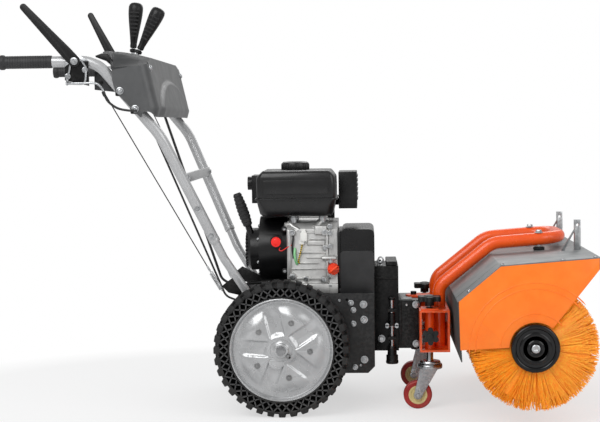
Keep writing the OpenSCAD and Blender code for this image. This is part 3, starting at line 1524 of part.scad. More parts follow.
module clamp_knob() {
    translate([stem_x, -clamp_y, clamp_z]) rotate([90, 0, 0]) star_knob(knob_core_r, lobe_r, knob_h);
    ycyl(stem_x, clamp_z, clamp_r, -clamp_y, -stem_y - stem_r - fork_gap);
}
collar_top = 6;
knob_collar_r = 9;
module height_knob() {
    translate([stem_x, -stem_y, 0]) {
        zcyl(0, 0, spindle_r, spindle_z0, knob_z - knob_h / 3);
        zcyl(0, 0, knob_collar_r, bracket_z1 + seat_gap, bracket_z1 + seat_gap + collar_top);
        zcyl(0, 0, wide_neck_r, knob_z - knob_h + seat_gap, knob_z + knob_h / 3);
        translate([0, 0, knob_z]) star_knob(wide_core_r, wide_lobe_r, knob_h);
    }
}
module height_knob_right() { color("black") placed() height_knob(); }
module height_knob_left() { color("black") placed() mirror([0, 1, 0]) height_knob(); }
module caster_stem_right() { color("silver") placed() caster_stem(); }
module caster_stem_left() { color("silver") placed() mirror([0, 1, 0]) caster_stem(); }
module caster_fork_right() { color("silver") placed() caster_fork(); }
module caster_fork_left() { color("silver") placed() mirror([0, 1, 0]) caster_fork(); }
module caster_wheel_right() { color("firebrick") placed() caster_wheel(); }
module caster_wheel_left() { color("firebrick") placed() mirror([0, 1, 0]) caster_wheel(); }
module clamp_knob_right() { color("black") placed() clamp_knob(); }
module clamp_knob_left() { color("black") placed() mirror([0, 1, 0]) clamp_knob(); }

// Bolt heads on the outside
side_bolt_shares = [[0.824, 0.88], [0.918, 0.86], [0.842, 0.79], [0.921, 0.67], [0.842, 0.62], [0.921,
    0.17],
    [0.851, 0.075]];
side_bolt_r = 8;
side_bolt_h = 7;
console_bolt_r = 7;
console_bolt_h = 5;
arm_bolt_inset = 12;
module fasteners() {
    color("silver") placed() {
        tank_posts();
        both() bolt_heads();
    }
}
module bolt_heads() {
    for (s = side_bolt_shares) translate([housing_rear_x + s[0] * (housing_front_x - housing_rear_x),
            -housing_half - plate_t, housing_bot_z + s[1] * (plate_top_z - housing_bot_z)]) rotate([90,
                0, 0])
            bolt_head(side_bolt_r, side_bolt_h);
    for (share = saddle_shares) translate([saddle_at(share)[0], -console_half, saddle_at(share)[2]])
        rotate([90, 0, 0]) bolt_head(console_bolt_r, console_bolt_h);
    translate([con_brow_x, con_bend_r + console_bolt_r - console_half, con_brow_z]) rotate([0, 90 - con_rake,
        0])
        translate([con_bend_r, 0, 0]) bolt_head(console_bolt_r, console_bolt_h);
    for (z = [arm_z0 + arm_bolt_inset, arm_z1 - arm_bolt_inset]) translate([arm_x1 - arm_bolt_inset,
            -arm_half, z]) rotate([90, 0, 0]) bolt_head(console_bolt_r, console_bolt_h);
}

side_plates();
engine_deck();
housing_panels();
shaft_bearings();
hitch_box();
arm_box();
handle_brackets();
handle_tubes();
grips();
console();
lever_brackets();
clutch_cables();
crankcase();
crankcase_cover();
cylinder_head();
fan_cowl();
recoil_cover();
fuel_tank();
muffler();
air_cleaner();
belt_cover();
fasteners();
drive_belts();
crankshaft();
brush_shaft();
traction_disc();
hex_shaft();
axle();
tyres();
rims();
swivel_bracket();
loop_tube();
hood_top();
hood_sides();
rear_flap();
brush_gearcase();
collector_posts();
head_shaft();
brush_axle();
bristles_right();
bristles_left();
caster_stem_right();
caster_stem_left();
caster_fork_right();
caster_fork_left();
caster_wheel_right();
caster_wheel_left();
height_knob_right();
height_knob_left();
clamp_knob_right();
clamp_knob_left();
drive_lever();
brush_lever();
speed_lever();
turn_lever();
swivel_latch();
starter_handle();
fuel_cap();
oil_cap();
stop_button();
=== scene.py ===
import json
import math
import random

import bmesh
import bpy
from mathutils import Matrix, Vector, noise


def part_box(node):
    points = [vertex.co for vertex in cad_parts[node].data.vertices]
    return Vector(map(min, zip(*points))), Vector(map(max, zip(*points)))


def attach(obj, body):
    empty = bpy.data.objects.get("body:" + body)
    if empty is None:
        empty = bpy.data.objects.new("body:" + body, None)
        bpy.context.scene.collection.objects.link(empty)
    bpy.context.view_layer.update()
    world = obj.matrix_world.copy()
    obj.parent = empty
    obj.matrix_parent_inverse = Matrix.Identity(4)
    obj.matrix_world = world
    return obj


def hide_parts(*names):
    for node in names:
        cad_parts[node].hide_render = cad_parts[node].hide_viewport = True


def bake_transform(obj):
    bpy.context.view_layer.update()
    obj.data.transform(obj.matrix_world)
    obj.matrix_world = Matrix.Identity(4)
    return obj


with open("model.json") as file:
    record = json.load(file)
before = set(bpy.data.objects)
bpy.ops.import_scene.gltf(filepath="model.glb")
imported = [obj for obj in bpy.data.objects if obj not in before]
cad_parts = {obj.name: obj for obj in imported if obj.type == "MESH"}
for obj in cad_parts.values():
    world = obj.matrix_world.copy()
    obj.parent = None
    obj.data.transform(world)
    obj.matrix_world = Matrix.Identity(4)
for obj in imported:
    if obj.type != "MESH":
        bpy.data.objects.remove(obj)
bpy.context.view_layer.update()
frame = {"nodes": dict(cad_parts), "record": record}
cad = frame["nodes"]
bodyOf = {n: b for b, ns in frame["record"]["behaviour"]["bodies"].items() for n in ns}
print("frame loaded,", len(cad), "nodes")

midX = 46  # the model's middle lies this far ahead of the axle, mm


def at(x, y, z):  # mm from the ground under the axle, to metres
    return Vector(((x - midX) / 1000, y / 1000, z / 1000))


def srgb(r, g, b):
    return tuple(c / 3294.6 if c <= 10 else ((c / 255 + 0.055) / 1.055) ** 2.4 for c in (r, g, b)) + (1.0,)


# shader node groups, one for each effect that several finishes share
def newGroup(name, inputs, outputs):
    tree = bpy.data.node_groups.new(name, "ShaderNodeTree")
    for label, value in inputs:
        tree.interface.new_socket(label, in_out="INPUT",
                                  socket_type="NodeSocketFloat").default_value = value
    for label in outputs:
        tree.interface.new_socket(label, in_out="OUTPUT", socket_type="NodeSocketFloat")
    return tree, tree.nodes.new("NodeGroupInput"), tree.nodes.new("NodeGroupOutput")


def objectCoords(tree, stretch=None):
    coord = tree.nodes.new("ShaderNodeTexCoord").outputs["Object"]
    if stretch is None:
        return coord
    mapping = tree.nodes.new("ShaderNodeMapping")
    mapping.inputs["Scale"].default_value = stretch
    tree.links.new(coord, mapping.inputs["Vector"])
    return mapping.outputs["Vector"]


def noiseIn(tree, coord, scale, detail=3.0, rough=0.55):
    node = tree.nodes.new("ShaderNodeTexNoise")
    node.inputs["Detail"].default_value = detail
    node.inputs["Roughness"].default_value = rough
    tree.links.new(coord, node.inputs["Vector"])
    if isinstance(scale, (int, float)):
        node.inputs["Scale"].default_value = scale
    else:
        tree.links.new(scale, node.inputs["Scale"])
    return node.outputs["Fac"]


def mathIn(tree, kind, a, b=None, clamp=False):
    node = tree.nodes.new("ShaderNodeMath")
    node.operation = kind
    node.use_clamp = clamp
    for socket, value in zip(node.inputs, (a, b)):
        if value is None:
            continue
        if isinstance(value, (int, float)):
            socket.default_value = value
        else:
            tree.links.new(value, socket)
    return node.outputs[0]


def rangeIn(tree, value, lo, hi, outLo=0.0, outHi=1.0):
    node = tree.nodes.new("ShaderNodeMapRange")
    tree.links.new(value, node.inputs["Value"])
    for socket, v in zip(node.inputs[1:5], (lo, hi, outLo, outHi)):
        if isinstance(v, (int, float)):
            socket.default_value = v
        else:
            tree.links.new(v, socket)
    return node.outputs["Result"]


def mixIn(tree, factor, a, b):
    node = tree.nodes.new("ShaderNodeMix")
    node.data_type = "RGBA"
    for socket, v in ((node.inputs[0], factor), (node.inputs[6], a), (node.inputs[7], b)):
        if isinstance(v, (int, float, tuple)):
            socket.default_value = v
        else:
            tree.links.new(v, socket)
    return node.outputs[2]


def surfaceGroups():
    made = {}
    # fine orange peel of powder coat, or the spark texture of a moulding
    tree, gin, gout = newGroup("coatGrain", [("Scale", 900.0)], ["Shade", "Height"])
    coord = objectCoords(tree)
    slow = noiseIn(tree, coord, mathIn(tree, "MULTIPLY", gin.outputs["Scale"], 0.03), 4.0)
    tree.links.new(rangeIn(tree, slow, 0.3, 0.7), gout.inputs["Shade"])
    tree.links.new(noiseIn(tree, coord, gin.outputs["Scale"], 2.0), gout.inputs["Height"])
    made["grain"] = tree

    # drawn or rolled metal: streaks along one axis
    tree, gin, gout = newGroup("drawnLines", [("Scale", 30.0)], ["Shade", "Height"])
    lines = noiseIn(tree, objectCoords(tree, (1.5, 40, 40)), gin.outputs["Scale"], 3.0)
    cloud = noiseIn(tree, objectCoords(tree), 14.0, 3.0)
    tree.links.new(rangeIn(tree, mathIn(tree, "ADD", mathIn(tree, "MULTIPLY", lines, 0.5),
                                        mathIn(tree, "MULTIPLY", cloud, 0.5)), 0.36, 0.64),
                                        gout.inputs["Shade"])
    tree.links.new(lines, gout.inputs["Height"])
    made["drawn"] = tree

    # cast metal: coarse skin with small pits
    tree, gin, gout = newGroup("castSkin", [("Scale", 420.0)], ["Shade", "Height"])
    coord = objectCoords(tree)
    pits = tree.nodes.new("ShaderNodeTexVoronoi")
    tree.links.new(coord, pits.inputs["Vector"])
    tree.links.new(gin.outputs["Scale"], pits.inputs["Scale"])
    rough = noiseIn(tree, coord, gin.outputs["Scale"], 4.0, 0.7)
    tree.links.new(mathIn(tree, "ADD", rough, mathIn(tree, "MULTIPLY", pits.outputs["Distance"], 0.4)),
                   gout.inputs["Height"])
    tree.links.new(rangeIn(tree, noiseIn(tree, coord, 22.0, 5.0, 0.65), 0.32, 0.68), gout.inputs["Shade"])
    made["cast"] = tree

    # zinc flowers on plated and galvanised steel
    tree, gin, gout = newGroup("zincFlowers", [("Scale", 160.0)], ["Shade", "Height"])
    coord = objectCoords(tree)
    cells = tree.nodes.new("ShaderNodeTexVoronoi")
    tree.links.new(coord, cells.inputs["Vector"])
    tree.links.new(gin.outputs["Scale"], cells.inputs["Scale"])
    split = tree.nodes.new("ShaderNodeSeparateColor")
    tree.links.new(cells.outputs["Color"], split.inputs[0])
    blend = mathIn(tree, "ADD", mathIn(tree, "MULTIPLY", split.outputs[0], 0.55),
                   mathIn(tree, "MULTIPLY", noiseIn(tree, coord, 60.0, 4.0), 0.45))
    tree.links.new(blend, gout.inputs["Shade"])
    tree.links.new(noiseIn(tree, coord, 700.0, 2.0), gout.inputs["Height"])
    made["zinc"] = tree

    # bristle strands: colour that runs from strand to strand
    tree, gin, gout = newGroup("strandTone", [("Scale", 240.0)], ["Shade", "Height"])
    coord = objectCoords(tree)
    tone = noiseIn(tree, coord, gin.outputs["Scale"], 2.0)
    tree.links.new(rangeIn(tree, tone, 0.3, 0.7), gout.inputs["Shade"])
    tree.links.new(noiseIn(tree, coord, 1200.0, 1.0), gout.inputs["Height"])
    made["strand"] = tree

    # bare metal or worn paint where an edge stands proud
    tree, gin, gout = newGroup("rubbedEdges", [("Amount", 0.5)], ["Mask"])
    point = tree.nodes.new("ShaderNodeNewGeometry").outputs["Pointiness"]
    chips = rangeIn(tree, noiseIn(tree, objectCoords(tree), 130.0, 5.0, 0.7), 0.42, 0.62)
    edge = rangeIn(tree, point, 0.53, 0.62)
    both = mathIn(tree, "MULTIPLY", edge, chips)
    tree.links.new(mathIn(tree, "MULTIPLY", both, gin.outputs["Amount"], True), gout.inputs["Mask"])
    made["edges"] = tree

    # dust that thins out with height above the ground
    tree, gin, gout = newGroup("groundDust", [("Top", 0.35), ("Amount", 0.3)], ["Mask"])
    split = tree.nodes.new("ShaderNodeSeparateXYZ")
    tree.links.new(objectCoords(tree), split.inputs[0])
    fade = rangeIn(tree, split.outputs["Z"], gin.outputs["Top"], 0.0)
    cloud = rangeIn(tree, noiseIn(tree, objectCoords(tree), 26.0, 6.0, 0.7), 0.38, 0.75)
    both = mathIn(tree, "MULTIPLY", fade, cloud)
    tree.links.new(mathIn(tree, "MULTIPLY", both, gin.outputs["Amount"], True), gout.inputs["Mask"])
    made["dust"] = tree

    # handling marks, for gloss that isn't even
    tree, gin, gout = newGroup("handlingMarks", [("Low", 0.3), ("High", 0.5)], ["Gloss"])
    smear = noiseIn(tree, objectCoords(tree), 16.0, 5.0, 0.6)
    tree.links.new(rangeIn(tree, smear, 0.3, 0.7, gin.outputs["Low"], gin.outputs["High"]),
                   gout.inputs["Gloss"])
    made["marks"] = tree
    return made


groups = surfaceGroups()


def useGroup(tree, key, **values):
    node = tree.nodes.new("ShaderNodeGroup")
    node.node_tree = groups[key]
    for label, value in values.items():
        node.inputs[label].default_value = value
    return node


def makeFinish(name, low, high, rough, metal=0.0, coat=0.0, skin="grain", scale=900.0, bump=0.06,
               depth=0.0004, edge=None, edgeAmount=0.6, dust=0.0, dustTop=0.3, specular=0.5, stripe=None):
    mat = bpy.data.materials.new(name)
    mat.use_nodes = True
    tree = mat.node_tree
    shader = tree.nodes["Principled BSDF"]
    surface = useGroup(tree, skin, Scale=scale)
    colour = mixIn(tree, surface.outputs["Shade"], srgb(*low), srgb(*high))
    if stripe:
        wave = tree.nodes.new("ShaderNodeTexWave")
        wave.bands_direction = "Z"
        wave.inputs["Scale"].default_value = stripe[0]
        tree.links.new(objectCoords(tree), wave.inputs["Vector"])
        colour = mixIn(tree, rangeIn(tree, wave.outputs["Fac"], 0.45, 0.55), srgb(*stripe[1]), colour)
    if edge:
        worn = useGroup(tree, "edges", Amount=edgeAmount)
        colour = mixIn(tree, worn.outputs["Mask"], colour, srgb(*edge))
    gloss = useGroup(tree, "marks", Low=rough[0], High=rough[1]).outputs["Gloss"]
    if dust:
        film = useGroup(tree, "dust", Amount=dust, Top=dustTop).outputs["Mask"]
        colour = mixIn(tree, film, colour, srgb(150, 142, 130))
        gloss = mathIn(tree, "ADD", gloss, mathIn(tree, "MULTIPLY", film, 0.4), True)
    tree.links.new(colour, shader.inputs["Base Color"])
    tree.links.new(gloss, shader.inputs["Roughness"])
    relief = tree.nodes.new("ShaderNodeBump")
    relief.inputs["Strength"].default_value = bump
    relief.inputs["Distance"].default_value = depth
    tree.links.new(surface.outputs["Height"], relief.inputs["Height"])
    tree.links.new(relief.outputs["Normal"], shader.inputs["Normal"])
    shader.inputs["Metallic"].default_value = metal
    shader.inputs["Specular IOR Level"].default_value = specular
    shader.inputs["Coat Weight"].default_value = coat
    shader.inputs["Coat Roughness"].default_value = 0.08
    return mat


plateGrey = makeFinish("plateGrey", (20, 20, 21), (30, 30, 31), (0.36, 0.5), edge=(90, 90, 89), dust=0.05,
                       specular=0.35)
frameBlack = makeFinish("frameBlack", (3, 3, 3), (7, 7, 8), (0.3, 0.44), bump=0.03, edge=(70, 70, 69),
                        specular=0.26)
bearingSteel = makeFinish("bearingSteel", (120, 121, 122), (158, 158, 158), (0.3, 0.45), 1.0, skin="drawn")
tubeSilver = makeFinish("tubeSilver", (178, 179, 180), (186, 187, 188), (0.28, 0.34), 0.4, skin="grain",
                        scale=700.0, bump=0.015)
gripRubber = makeFinish("gripRubber", (40, 40, 41), (52, 52, 53), (0.44, 0.6), scale=1400.0, bump=0.12,
                        specular=0.35)
consoleGrey = makeFinish("consoleGrey", (72, 73, 74), (80, 81, 82), (0.34, 0.44), scale=1100.0, bump=0.04,
                         edge=(125, 125, 124), edgeAmount=0.35)
# darker copy of the console grey: painted shade on the upward-facing top sheet and on the holder under it
consoleTop = makeFinish("consoleTop", (44, 45, 46), (54, 55, 56), (0.36, 0.5), scale=1100.0, bump=0.08,
                        specular=0.35)
zincPlate = makeFinish("zincPlate", (150, 152, 155), (205, 207, 208), (0.22, 0.4), 1.0, skin="zinc",
                       scale=190.0)
cableBlack = makeFinish("cableBlack", (16, 16, 17), (26, 26, 27), (0.35, 0.5), scale=1600.0)
engineAluminium = makeFinish("engineAluminium", (182, 182, 181), (218, 218, 216), (0.34, 0.52), 0.85,
                             skin="cast", scale=520.0, bump=0.22, depth=0.0006, edge=(225, 225, 222),
                             edgeAmount=0.5)
engineBlack = makeFinish("engineBlack", (9, 9, 10), (16, 16, 17), (0.26, 0.42), scale=800.0,
                         edge=(60, 60, 60), specular=0.38)
tankBlack = makeFinish("tankBlack", (15, 15, 16), (23, 23, 24), (0.24, 0.36), scale=1200.0, bump=0.04,
                       coat=0.08, specular=0.42)
coverBlack = makeFinish("coverBlack", (9, 9, 10), (15, 15, 16), (0.22, 0.34), scale=900.0, bump=0.05,
                        specular=0.4)
coverPanel = makeFinish("coverPanel", (34, 34, 35), (44, 44, 45), (0.38, 0.52), scale=900.0, bump=0.06,
                        specular=0.4)
beltRubber = makeFinish("beltRubber", (22, 22, 22), (34, 34, 34), (0.7, 0.85), scale=600.0, bump=0.2)
shaftSteel = makeFinish("shaftSteel", (135, 136, 138), (178, 178, 178), (0.22, 0.38), 1.0, skin="drawn")
tyreRubber = makeFinish("tyreRubber", (24, 24, 25), (36, 36, 36), (0.55, 0.74), scale=500.0, bump=0.18,
                        dust=0.08, specular=0.35)
# near-black copy of the tyre rubber: painted shade in the recessed lattice band and in the small cup on the
# side plates
recessPaintedShade = makeFinish("recessPaintedShade", (4, 4, 4), (9, 9, 9), (0.75, 0.9), scale=500.0, bump=0.15, specular=0.15)
tyreRib = makeFinish("tyreRib", (58, 58, 59), (74, 74, 74), (0.5, 0.66), scale=500.0, bump=0.15, dust=0.06)
rimSilver = makeFinish("rimSilver", (172, 173, 174), (190, 191, 192), (0.22, 0.32), 0.6, scale=600.0,
                       bump=0.03, edge=(215, 215, 215), edgeAmount=0.4, dust=0.04)
bracketOrange = makeFinish("bracketOrange", (240, 76, 14), (250, 92, 22), (0.26, 0.4), coat=0.15,
                           scale=700.0, bump=0.05, edge=(170, 90, 55), dust=0.04)
armOrange = makeFinish("armOrange", (244, 84, 14), (252, 96, 22), (0.22, 0.32), coat=0.15, scale=700.0,
                       bump=0.012)
hoodOrange = makeFinish("hoodOrange", (252, 118, 22), (255, 130, 34), (0.3, 0.42), coat=0.08, scale=800.0,
                        bump=0.04, specular=0.35, edge=(225, 120, 60), edgeAmount=0.3, dust=0.08)
hoodGrey = makeFinish("hoodGrey", (104, 107, 108), (120, 123, 124), (0.34, 0.48), 0.1, scale=800.0,
                      bump=0.06, edge=(150, 150, 150), edgeAmount=0.4)
flapRubber = makeFinish("flapRubber", (54, 58, 58), (68, 72, 72), (0.55, 0.7), scale=900.0, bump=0.15,
                        dust=0.15)
gearcaseBlack = makeFinish("gearcaseBlack", (24, 24, 25), (36, 36, 37), (0.4, 0.55), 0.2, skin="cast",
                           bump=0.3)
brushBlack = makeFinish("brushBlack", (4, 4, 5), (9, 9, 10), (0.08, 0.15), scale=700.0, coat=0.25,
                        bump=0.015, specular=0.25)
bristleOrange = makeFinish("bristleOrange", (255, 142, 12), (255, 186, 48), (0.42, 0.6), skin="strand",
                           scale=260.0, bump=0.1, edge=None)
# darker copy of the bristle orange for the dense heart: painted shade standing in for the shade among the
# strands
bristleHeartPaintedShade = makeFinish("bristleHeartPaintedShade", (244, 124, 8), (255, 160, 26), (0.5, 0.7), skin="strand",
                         scale=330.0, bump=0.2)
casterZinc = makeFinish("casterZinc", (148, 150, 153), (200, 202, 204), (0.2, 0.36), 1.0, skin="zinc",
                        scale=220.0)
casterTread = makeFinish("casterTread", (150, 26, 22), (176, 36, 30), (0.36, 0.5), scale=700.0, dust=0.25,
                         dustTop=0.06)
casterCream = makeFinish("casterCream", (204, 188, 128), (224, 208, 150), (0.34, 0.5), scale=700.0,
                         dust=0.1)
knobBlack = makeFinish("knobBlack", (22, 24, 24), (34, 36, 36), (0.38, 0.52), scale=1100.0, bump=0.1,
                       specular=0.38)
leverBlack = makeFinish("leverBlack", (8, 8, 9), (15, 15, 16), (0.3, 0.44), scale=1000.0, bump=0.06,
                        edge=(70, 70, 70), edgeAmount=0.3, specular=0.36)
fillerOrange = makeFinish("fillerOrange", (244, 62, 14), (255, 78, 26), (0.32, 0.44), scale=1000.0)
buttonRed = makeFinish("buttonRed", (246, 24, 18), (255, 40, 28), (0.28, 0.4), scale=1000.0)
wireRed = makeFinish("wireRed", (214, 24, 24), (238, 46, 40), (0.35, 0.5), scale=1200.0)
wireYellow = makeFinish("wireYellow", (226, 190, 20), (246, 212, 40), (0.35, 0.5), scale=1200.0,
                        stripe=(60.0, (24, 24, 20)))
sleeveGreen = makeFinish("sleeveGreen", (120, 190, 130), (150, 214, 158), (0.4, 0.55), scale=900.0)
plugWhite = makeFinish("plugWhite", (222, 222, 218), (240, 240, 236), (0.35, 0.5), scale=900.0)
postGalv = makeFinish("postGalv", (150, 152, 154), (210, 212, 213), (0.26, 0.44), 0.95, skin="zinc",
                      scale=110.0)
print("finishes made")


# mesh helpers; every size is in mm
def sideAxes(axis):
    axis = axis.normalized()
    u = axis.orthogonal().normalized()
    return u, axis.cross(u)


def skinRings(bm, rings, closed=True, caps=(True, True), mat=0, loop=False):
    rows = [[bm.verts.new(p) for p in ring] for ring in rings]
    pairs = list(zip(rows, rows[1:])) + ([(rows[-1], rows[0])] if loop else [])
    for a, b in pairs:
        n = len(a)
        for i in range(n if closed else n - 1):
            j = (i + 1) % n
            bm.faces.new((a[i], a[j], b[j], b[i])).material_index = mat
    if caps[0] and not loop:
        bm.faces.new(rows[0][::-1]).material_index = mat
    if caps[1] and not loop:
        bm.faces.new(rows[-1]).material_index = mat


def lathe(bm, profile, origin, axis, segs=48, mat=0, loop=False, caps=(True, True)):
    axis = Vector(axis).normalized()
    u, v = sideAxes(axis)
    turn = [2 * math.pi * i / segs for i in range(segs)]
    rings = [[origin + axis * (h / 1000) + (u * math.cos(a) + v * math.sin(a)) * (max(r, 0.02) / 1000)
              for a in turn]
             for r, h in profile]
    skinRings(bm, rings, mat=mat, loop=loop, caps=caps)


def tube(bm, points, radius, segs=20, mat=0, caps=(True, True)):
    n = len(points)
    radii = radius if isinstance(radius, (list, tuple)) else [radius] * n
    heading = [(points[min(i + 1, n - 1)] - points[max(i - 1, 0)]).normalized() for i in range(n)]
    u, _ = sideAxes(heading[0])
    rings = []
    for i in range(n):
        if i:
            u = heading[i - 1].rotation_difference(heading[i]) @ u
        u = (u - heading[i] * u.dot(heading[i])).normalized()
        v = heading[i].cross(u)
        rings.append([points[i] + (u * math.cos(a) + v * math.sin(a)) * (radii[i] / 1000)
                      for a in (2 * math.pi * k / segs for k in range(segs))])
    skinRings(bm, rings, mat=mat, caps=caps)


def bendPath(corners, bends, steps=10):  # straight runs with round corners, corners as at() points
    path = [corners[0]]
    for i in range(1, len(corners) - 1):
        p, a, b = corners[i], corners[i - 1], corners[i + 1]
        u, v = (a - p).normalized(), (b - p).normalized()
        half = math.acos(max(-1, min(1, u.dot(v)))) / 2
        reach = bends[i - 1] / 1000 / math.tan(half)
        mid = p + (u + v).normalized() * (bends[i - 1] / 1000 / math.sin(half))
        first = p + u * reach - mid
        axis = u.cross(v)
        for k in range(steps + 1):
            path.append(mid + Matrix.Rotation((2 * half - math.pi) * k / steps, 3, axis) @ first)
    return path + [corners[-1]]


def smoothPath(knots, steps=8):  # a soft curve through the knots
    path = []
    full = [knots[0] * 2 - knots[1]] + list(knots) + [knots[-1] * 2 - knots[-2]]
    for i in range(1, len(full) - 2):
        p0, p1, p2, p3 = full[i - 1:i + 3]
        for k in range(steps):
            t = k / steps
            path.append(0.5 * (2 * p1 + (p2 - p0) * t + (2 * p0 - 5 * p1 + 4 * p2 - p3) * t * t
                               + (3 * p1 - p0 - 3 * p2 + p3) * t ** 3))
    return path + [knots[-1]]


def roundEdges(bm, width, angle=30, segs=2, clamp=True):
    bmesh.ops.recalc_face_normals(bm, faces=bm.faces)
    sharp = [e for e in bm.edges if len(e.link_faces) == 2 and e.calc_face_angle(0) > math.radians(angle)]
    bmesh.ops.bevel(bm, geom=sharp, offset=width / 1000, offset_type="OFFSET", segments=segs, profile=0.5,
                    affect="EDGES", clamp_overlap=clamp)


def addInto(bm, part, mat=None, move=None):
    if mat is not None:
        for f in part.faces:
            f.material_index = mat
    mesh = bpy.data.meshes.new("part")
    bmesh.ops.recalc_face_normals(part, faces=part.faces)
    part.to_mesh(mesh)
    part.free()
    if move is not None:
        mesh.transform(move)
    bm.from_mesh(mesh)
    bpy.data.meshes.remove(mesh)


def prism(bm, outline, axis, lo, hi, bevel=0.0, mat=0, segs=2, move=None):
    place = {"x": lambda a, b, c: at(c, a, b),
             "y": lambda a, b, c: at(a, c, b),
             "z": lambda a, b, c: at(a, b, c)}[axis]
    part = bmesh.new()
    skinRings(part, [[place(a, b, lo) for a, b in outline], [place(a, b, hi) for a, b in outline]])
    if bevel:
        roundEdges(part, bevel, 25, segs)
    addInto(bm, part, mat, move)


def block(bm, lo, hi, bevel=1.0, mat=0, segs=2, move=None):
    prism(bm, [(lo[0], lo[1]), (hi[0], lo[1]), (hi[0], hi[1]), (lo[0], hi[1])], "z", lo[2], hi[2], bevel,
          mat, segs, move)


def roundedOutline(points, radius, steps=5):
    out = []
    n = len(points)
    for i in range(n):
        p, a, b = Vector(points[i]), Vector(points[i - 1]), Vector(points[(i + 1) % n])
        r = radius[i] if isinstance(radius, (list, tuple)) else radius
        u, v = (a - p), (b - p)
        cut = min(r, u.length * 0.48, v.length * 0.48)
        s, e = p + u.normalized() * cut, p + v.normalized() * cut
        for k in range(steps + 1):
            t = k / steps
            q = s * (1 - t) ** 2 + p * 2 * t * (1 - t) + e * t * t
            out.append((q.x, q.y))
    return out


def bolt(bm, place, axis, r, h, mat=0, washer=True, sides=6):
    axis = Vector(axis)
    if washer:
        lathe(bm, [(r * 1.45, 0), (r * 1.45, h * 0.18), (r * 1.3, h * 0.24)], place, axis, 28, mat)
    lathe(bm, [(r, h * 0.15), (r, h * 0.82), (r * 0.86, h)], place, axis, sides, mat)


def screw(bm, place, axis, r, h, mat=0):  # pan head
    lathe(bm, [(r, 0), (r, h * 0.35), (r * 0.9, h * 0.7), (r * 0.6, h), (r * 0.32, h), (r * 0.3, h * 0.55)],
          place, Vector(axis), 20, mat)


def softCopy(node, width, angle=32, segs=2, clamp=True):  # the CAD form with its edges broken
    bm = bmesh.new()
    bm.from_mesh(cad[node].data)
    bmesh.ops.remove_doubles(bm, verts=bm.verts, dist=1e-6)
    bmesh.ops.dissolve_limit(bm, angle_limit=math.radians(1.0), verts=bm.verts, edges=bm.edges)
    for f in bm.faces:
        f.material_index = 0
    if width:
        roundEdges(bm, width, angle, segs, clamp)
    return bm


def makePiece(bm, name, body, finishes, stands=(), angle=35):
    bmesh.ops.recalc_face_normals(bm, faces=bm.faces)
    mesh = bpy.data.meshes.new(name)
    bm.to_mesh(mesh)
    bm.free()
    mesh.polygons.foreach_set("use_smooth", [True] * len(mesh.polygons))
    mesh.set_sharp_from_angle(angle=math.radians(angle))
    for f in finishes:
        mesh.materials.append(f)
    obj = bpy.data.objects.new(name, mesh)
    bpy.context.scene.collection.objects.link(obj)
    if body:  # a blended piece rides on nothing
        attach(obj, body)
    if stands:
        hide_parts(*stands)
    return obj


def camel(node):
    first, *rest = node.split("_")
    return first + "".join(w.capitalize() for w in rest)


def standFor(bm, node, finishes, name=None, angle=35):  # in place of one CAD node, on its body
    return makePiece(bm, name or camel(node), bodyOf[node], finishes, [node], angle)


# camera at the photograph's angle, floor and lights
cameraSet = {"place": (0.1772, -3.770, 0.7588), "turn": (86.40, 0.8, 2.717), "lens": 82.02}
camData = bpy.data.cameras.new("camera")
camData.lens = cameraSet["lens"]
camData.sensor_width = 36
camera = bpy.data.objects.new("camera", camData)
camera.location = cameraSet["place"]
camera.rotation_euler = [math.radians(a) for a in cameraSet["turn"]]
bpy.context.scene.collection.objects.link(camera)
bpy.context.scene.camera = camera
bpy.context.scene.view_settings.view_transform = "Standard"

lightSet = {"sky": 0.55, "key": 62, "fill": 26, "rim": 34, "floor": 0.86, "lift": 0.6, "fade": (0.5, 0.95)}


def addArea(name, place, aim, size, power):
    data = bpy.data.lights.new(name, "AREA")
    data.shape = "RECTANGLE"
    data.size, data.size_y = size
    data.energy = power
    obj = bpy.data.objects.new(name, data)
    obj.location = place
    obj.rotation_euler = (Vector(aim) - Vector(place)).to_track_quat("-Z", "Y").to_euler()
    bpy.context.scene.collection.objects.link(obj)


addArea("keySoftbox", (-1.3, -2.6, 2.7), (0.1, 0, 0.4), (2.6, 2.0), lightSet["key"])
addArea("fillSoftbox", (2.7, -2.2, 1.7), (0.2, 0, 0.4), (2.2, 2.0), lightSet["fill"])
addArea("backSoftbox", (0.6, 2.8, 2.6), (0.1, 0, 0.4), (3.2, 1.6), lightSet["rim"])


def seenMask(tree):
    return tree.nodes.new("ShaderNodeLightPath").outputs["Is Camera Ray"]


world = bpy.data.worlds.new("studio")
bpy.context.scene.world = world
world.use_nodes = True
worldTree = world.node_tree
backLight = worldTree.nodes["Background"]
backLight.inputs["Color"].default_value = (1, 1, 1, 1)
sky = mathIn(worldTree, "MAXIMUM", seenMask(worldTree), lightSet["sky"])
worldTree.links.new(sky, backLight.inputs["Strength"])


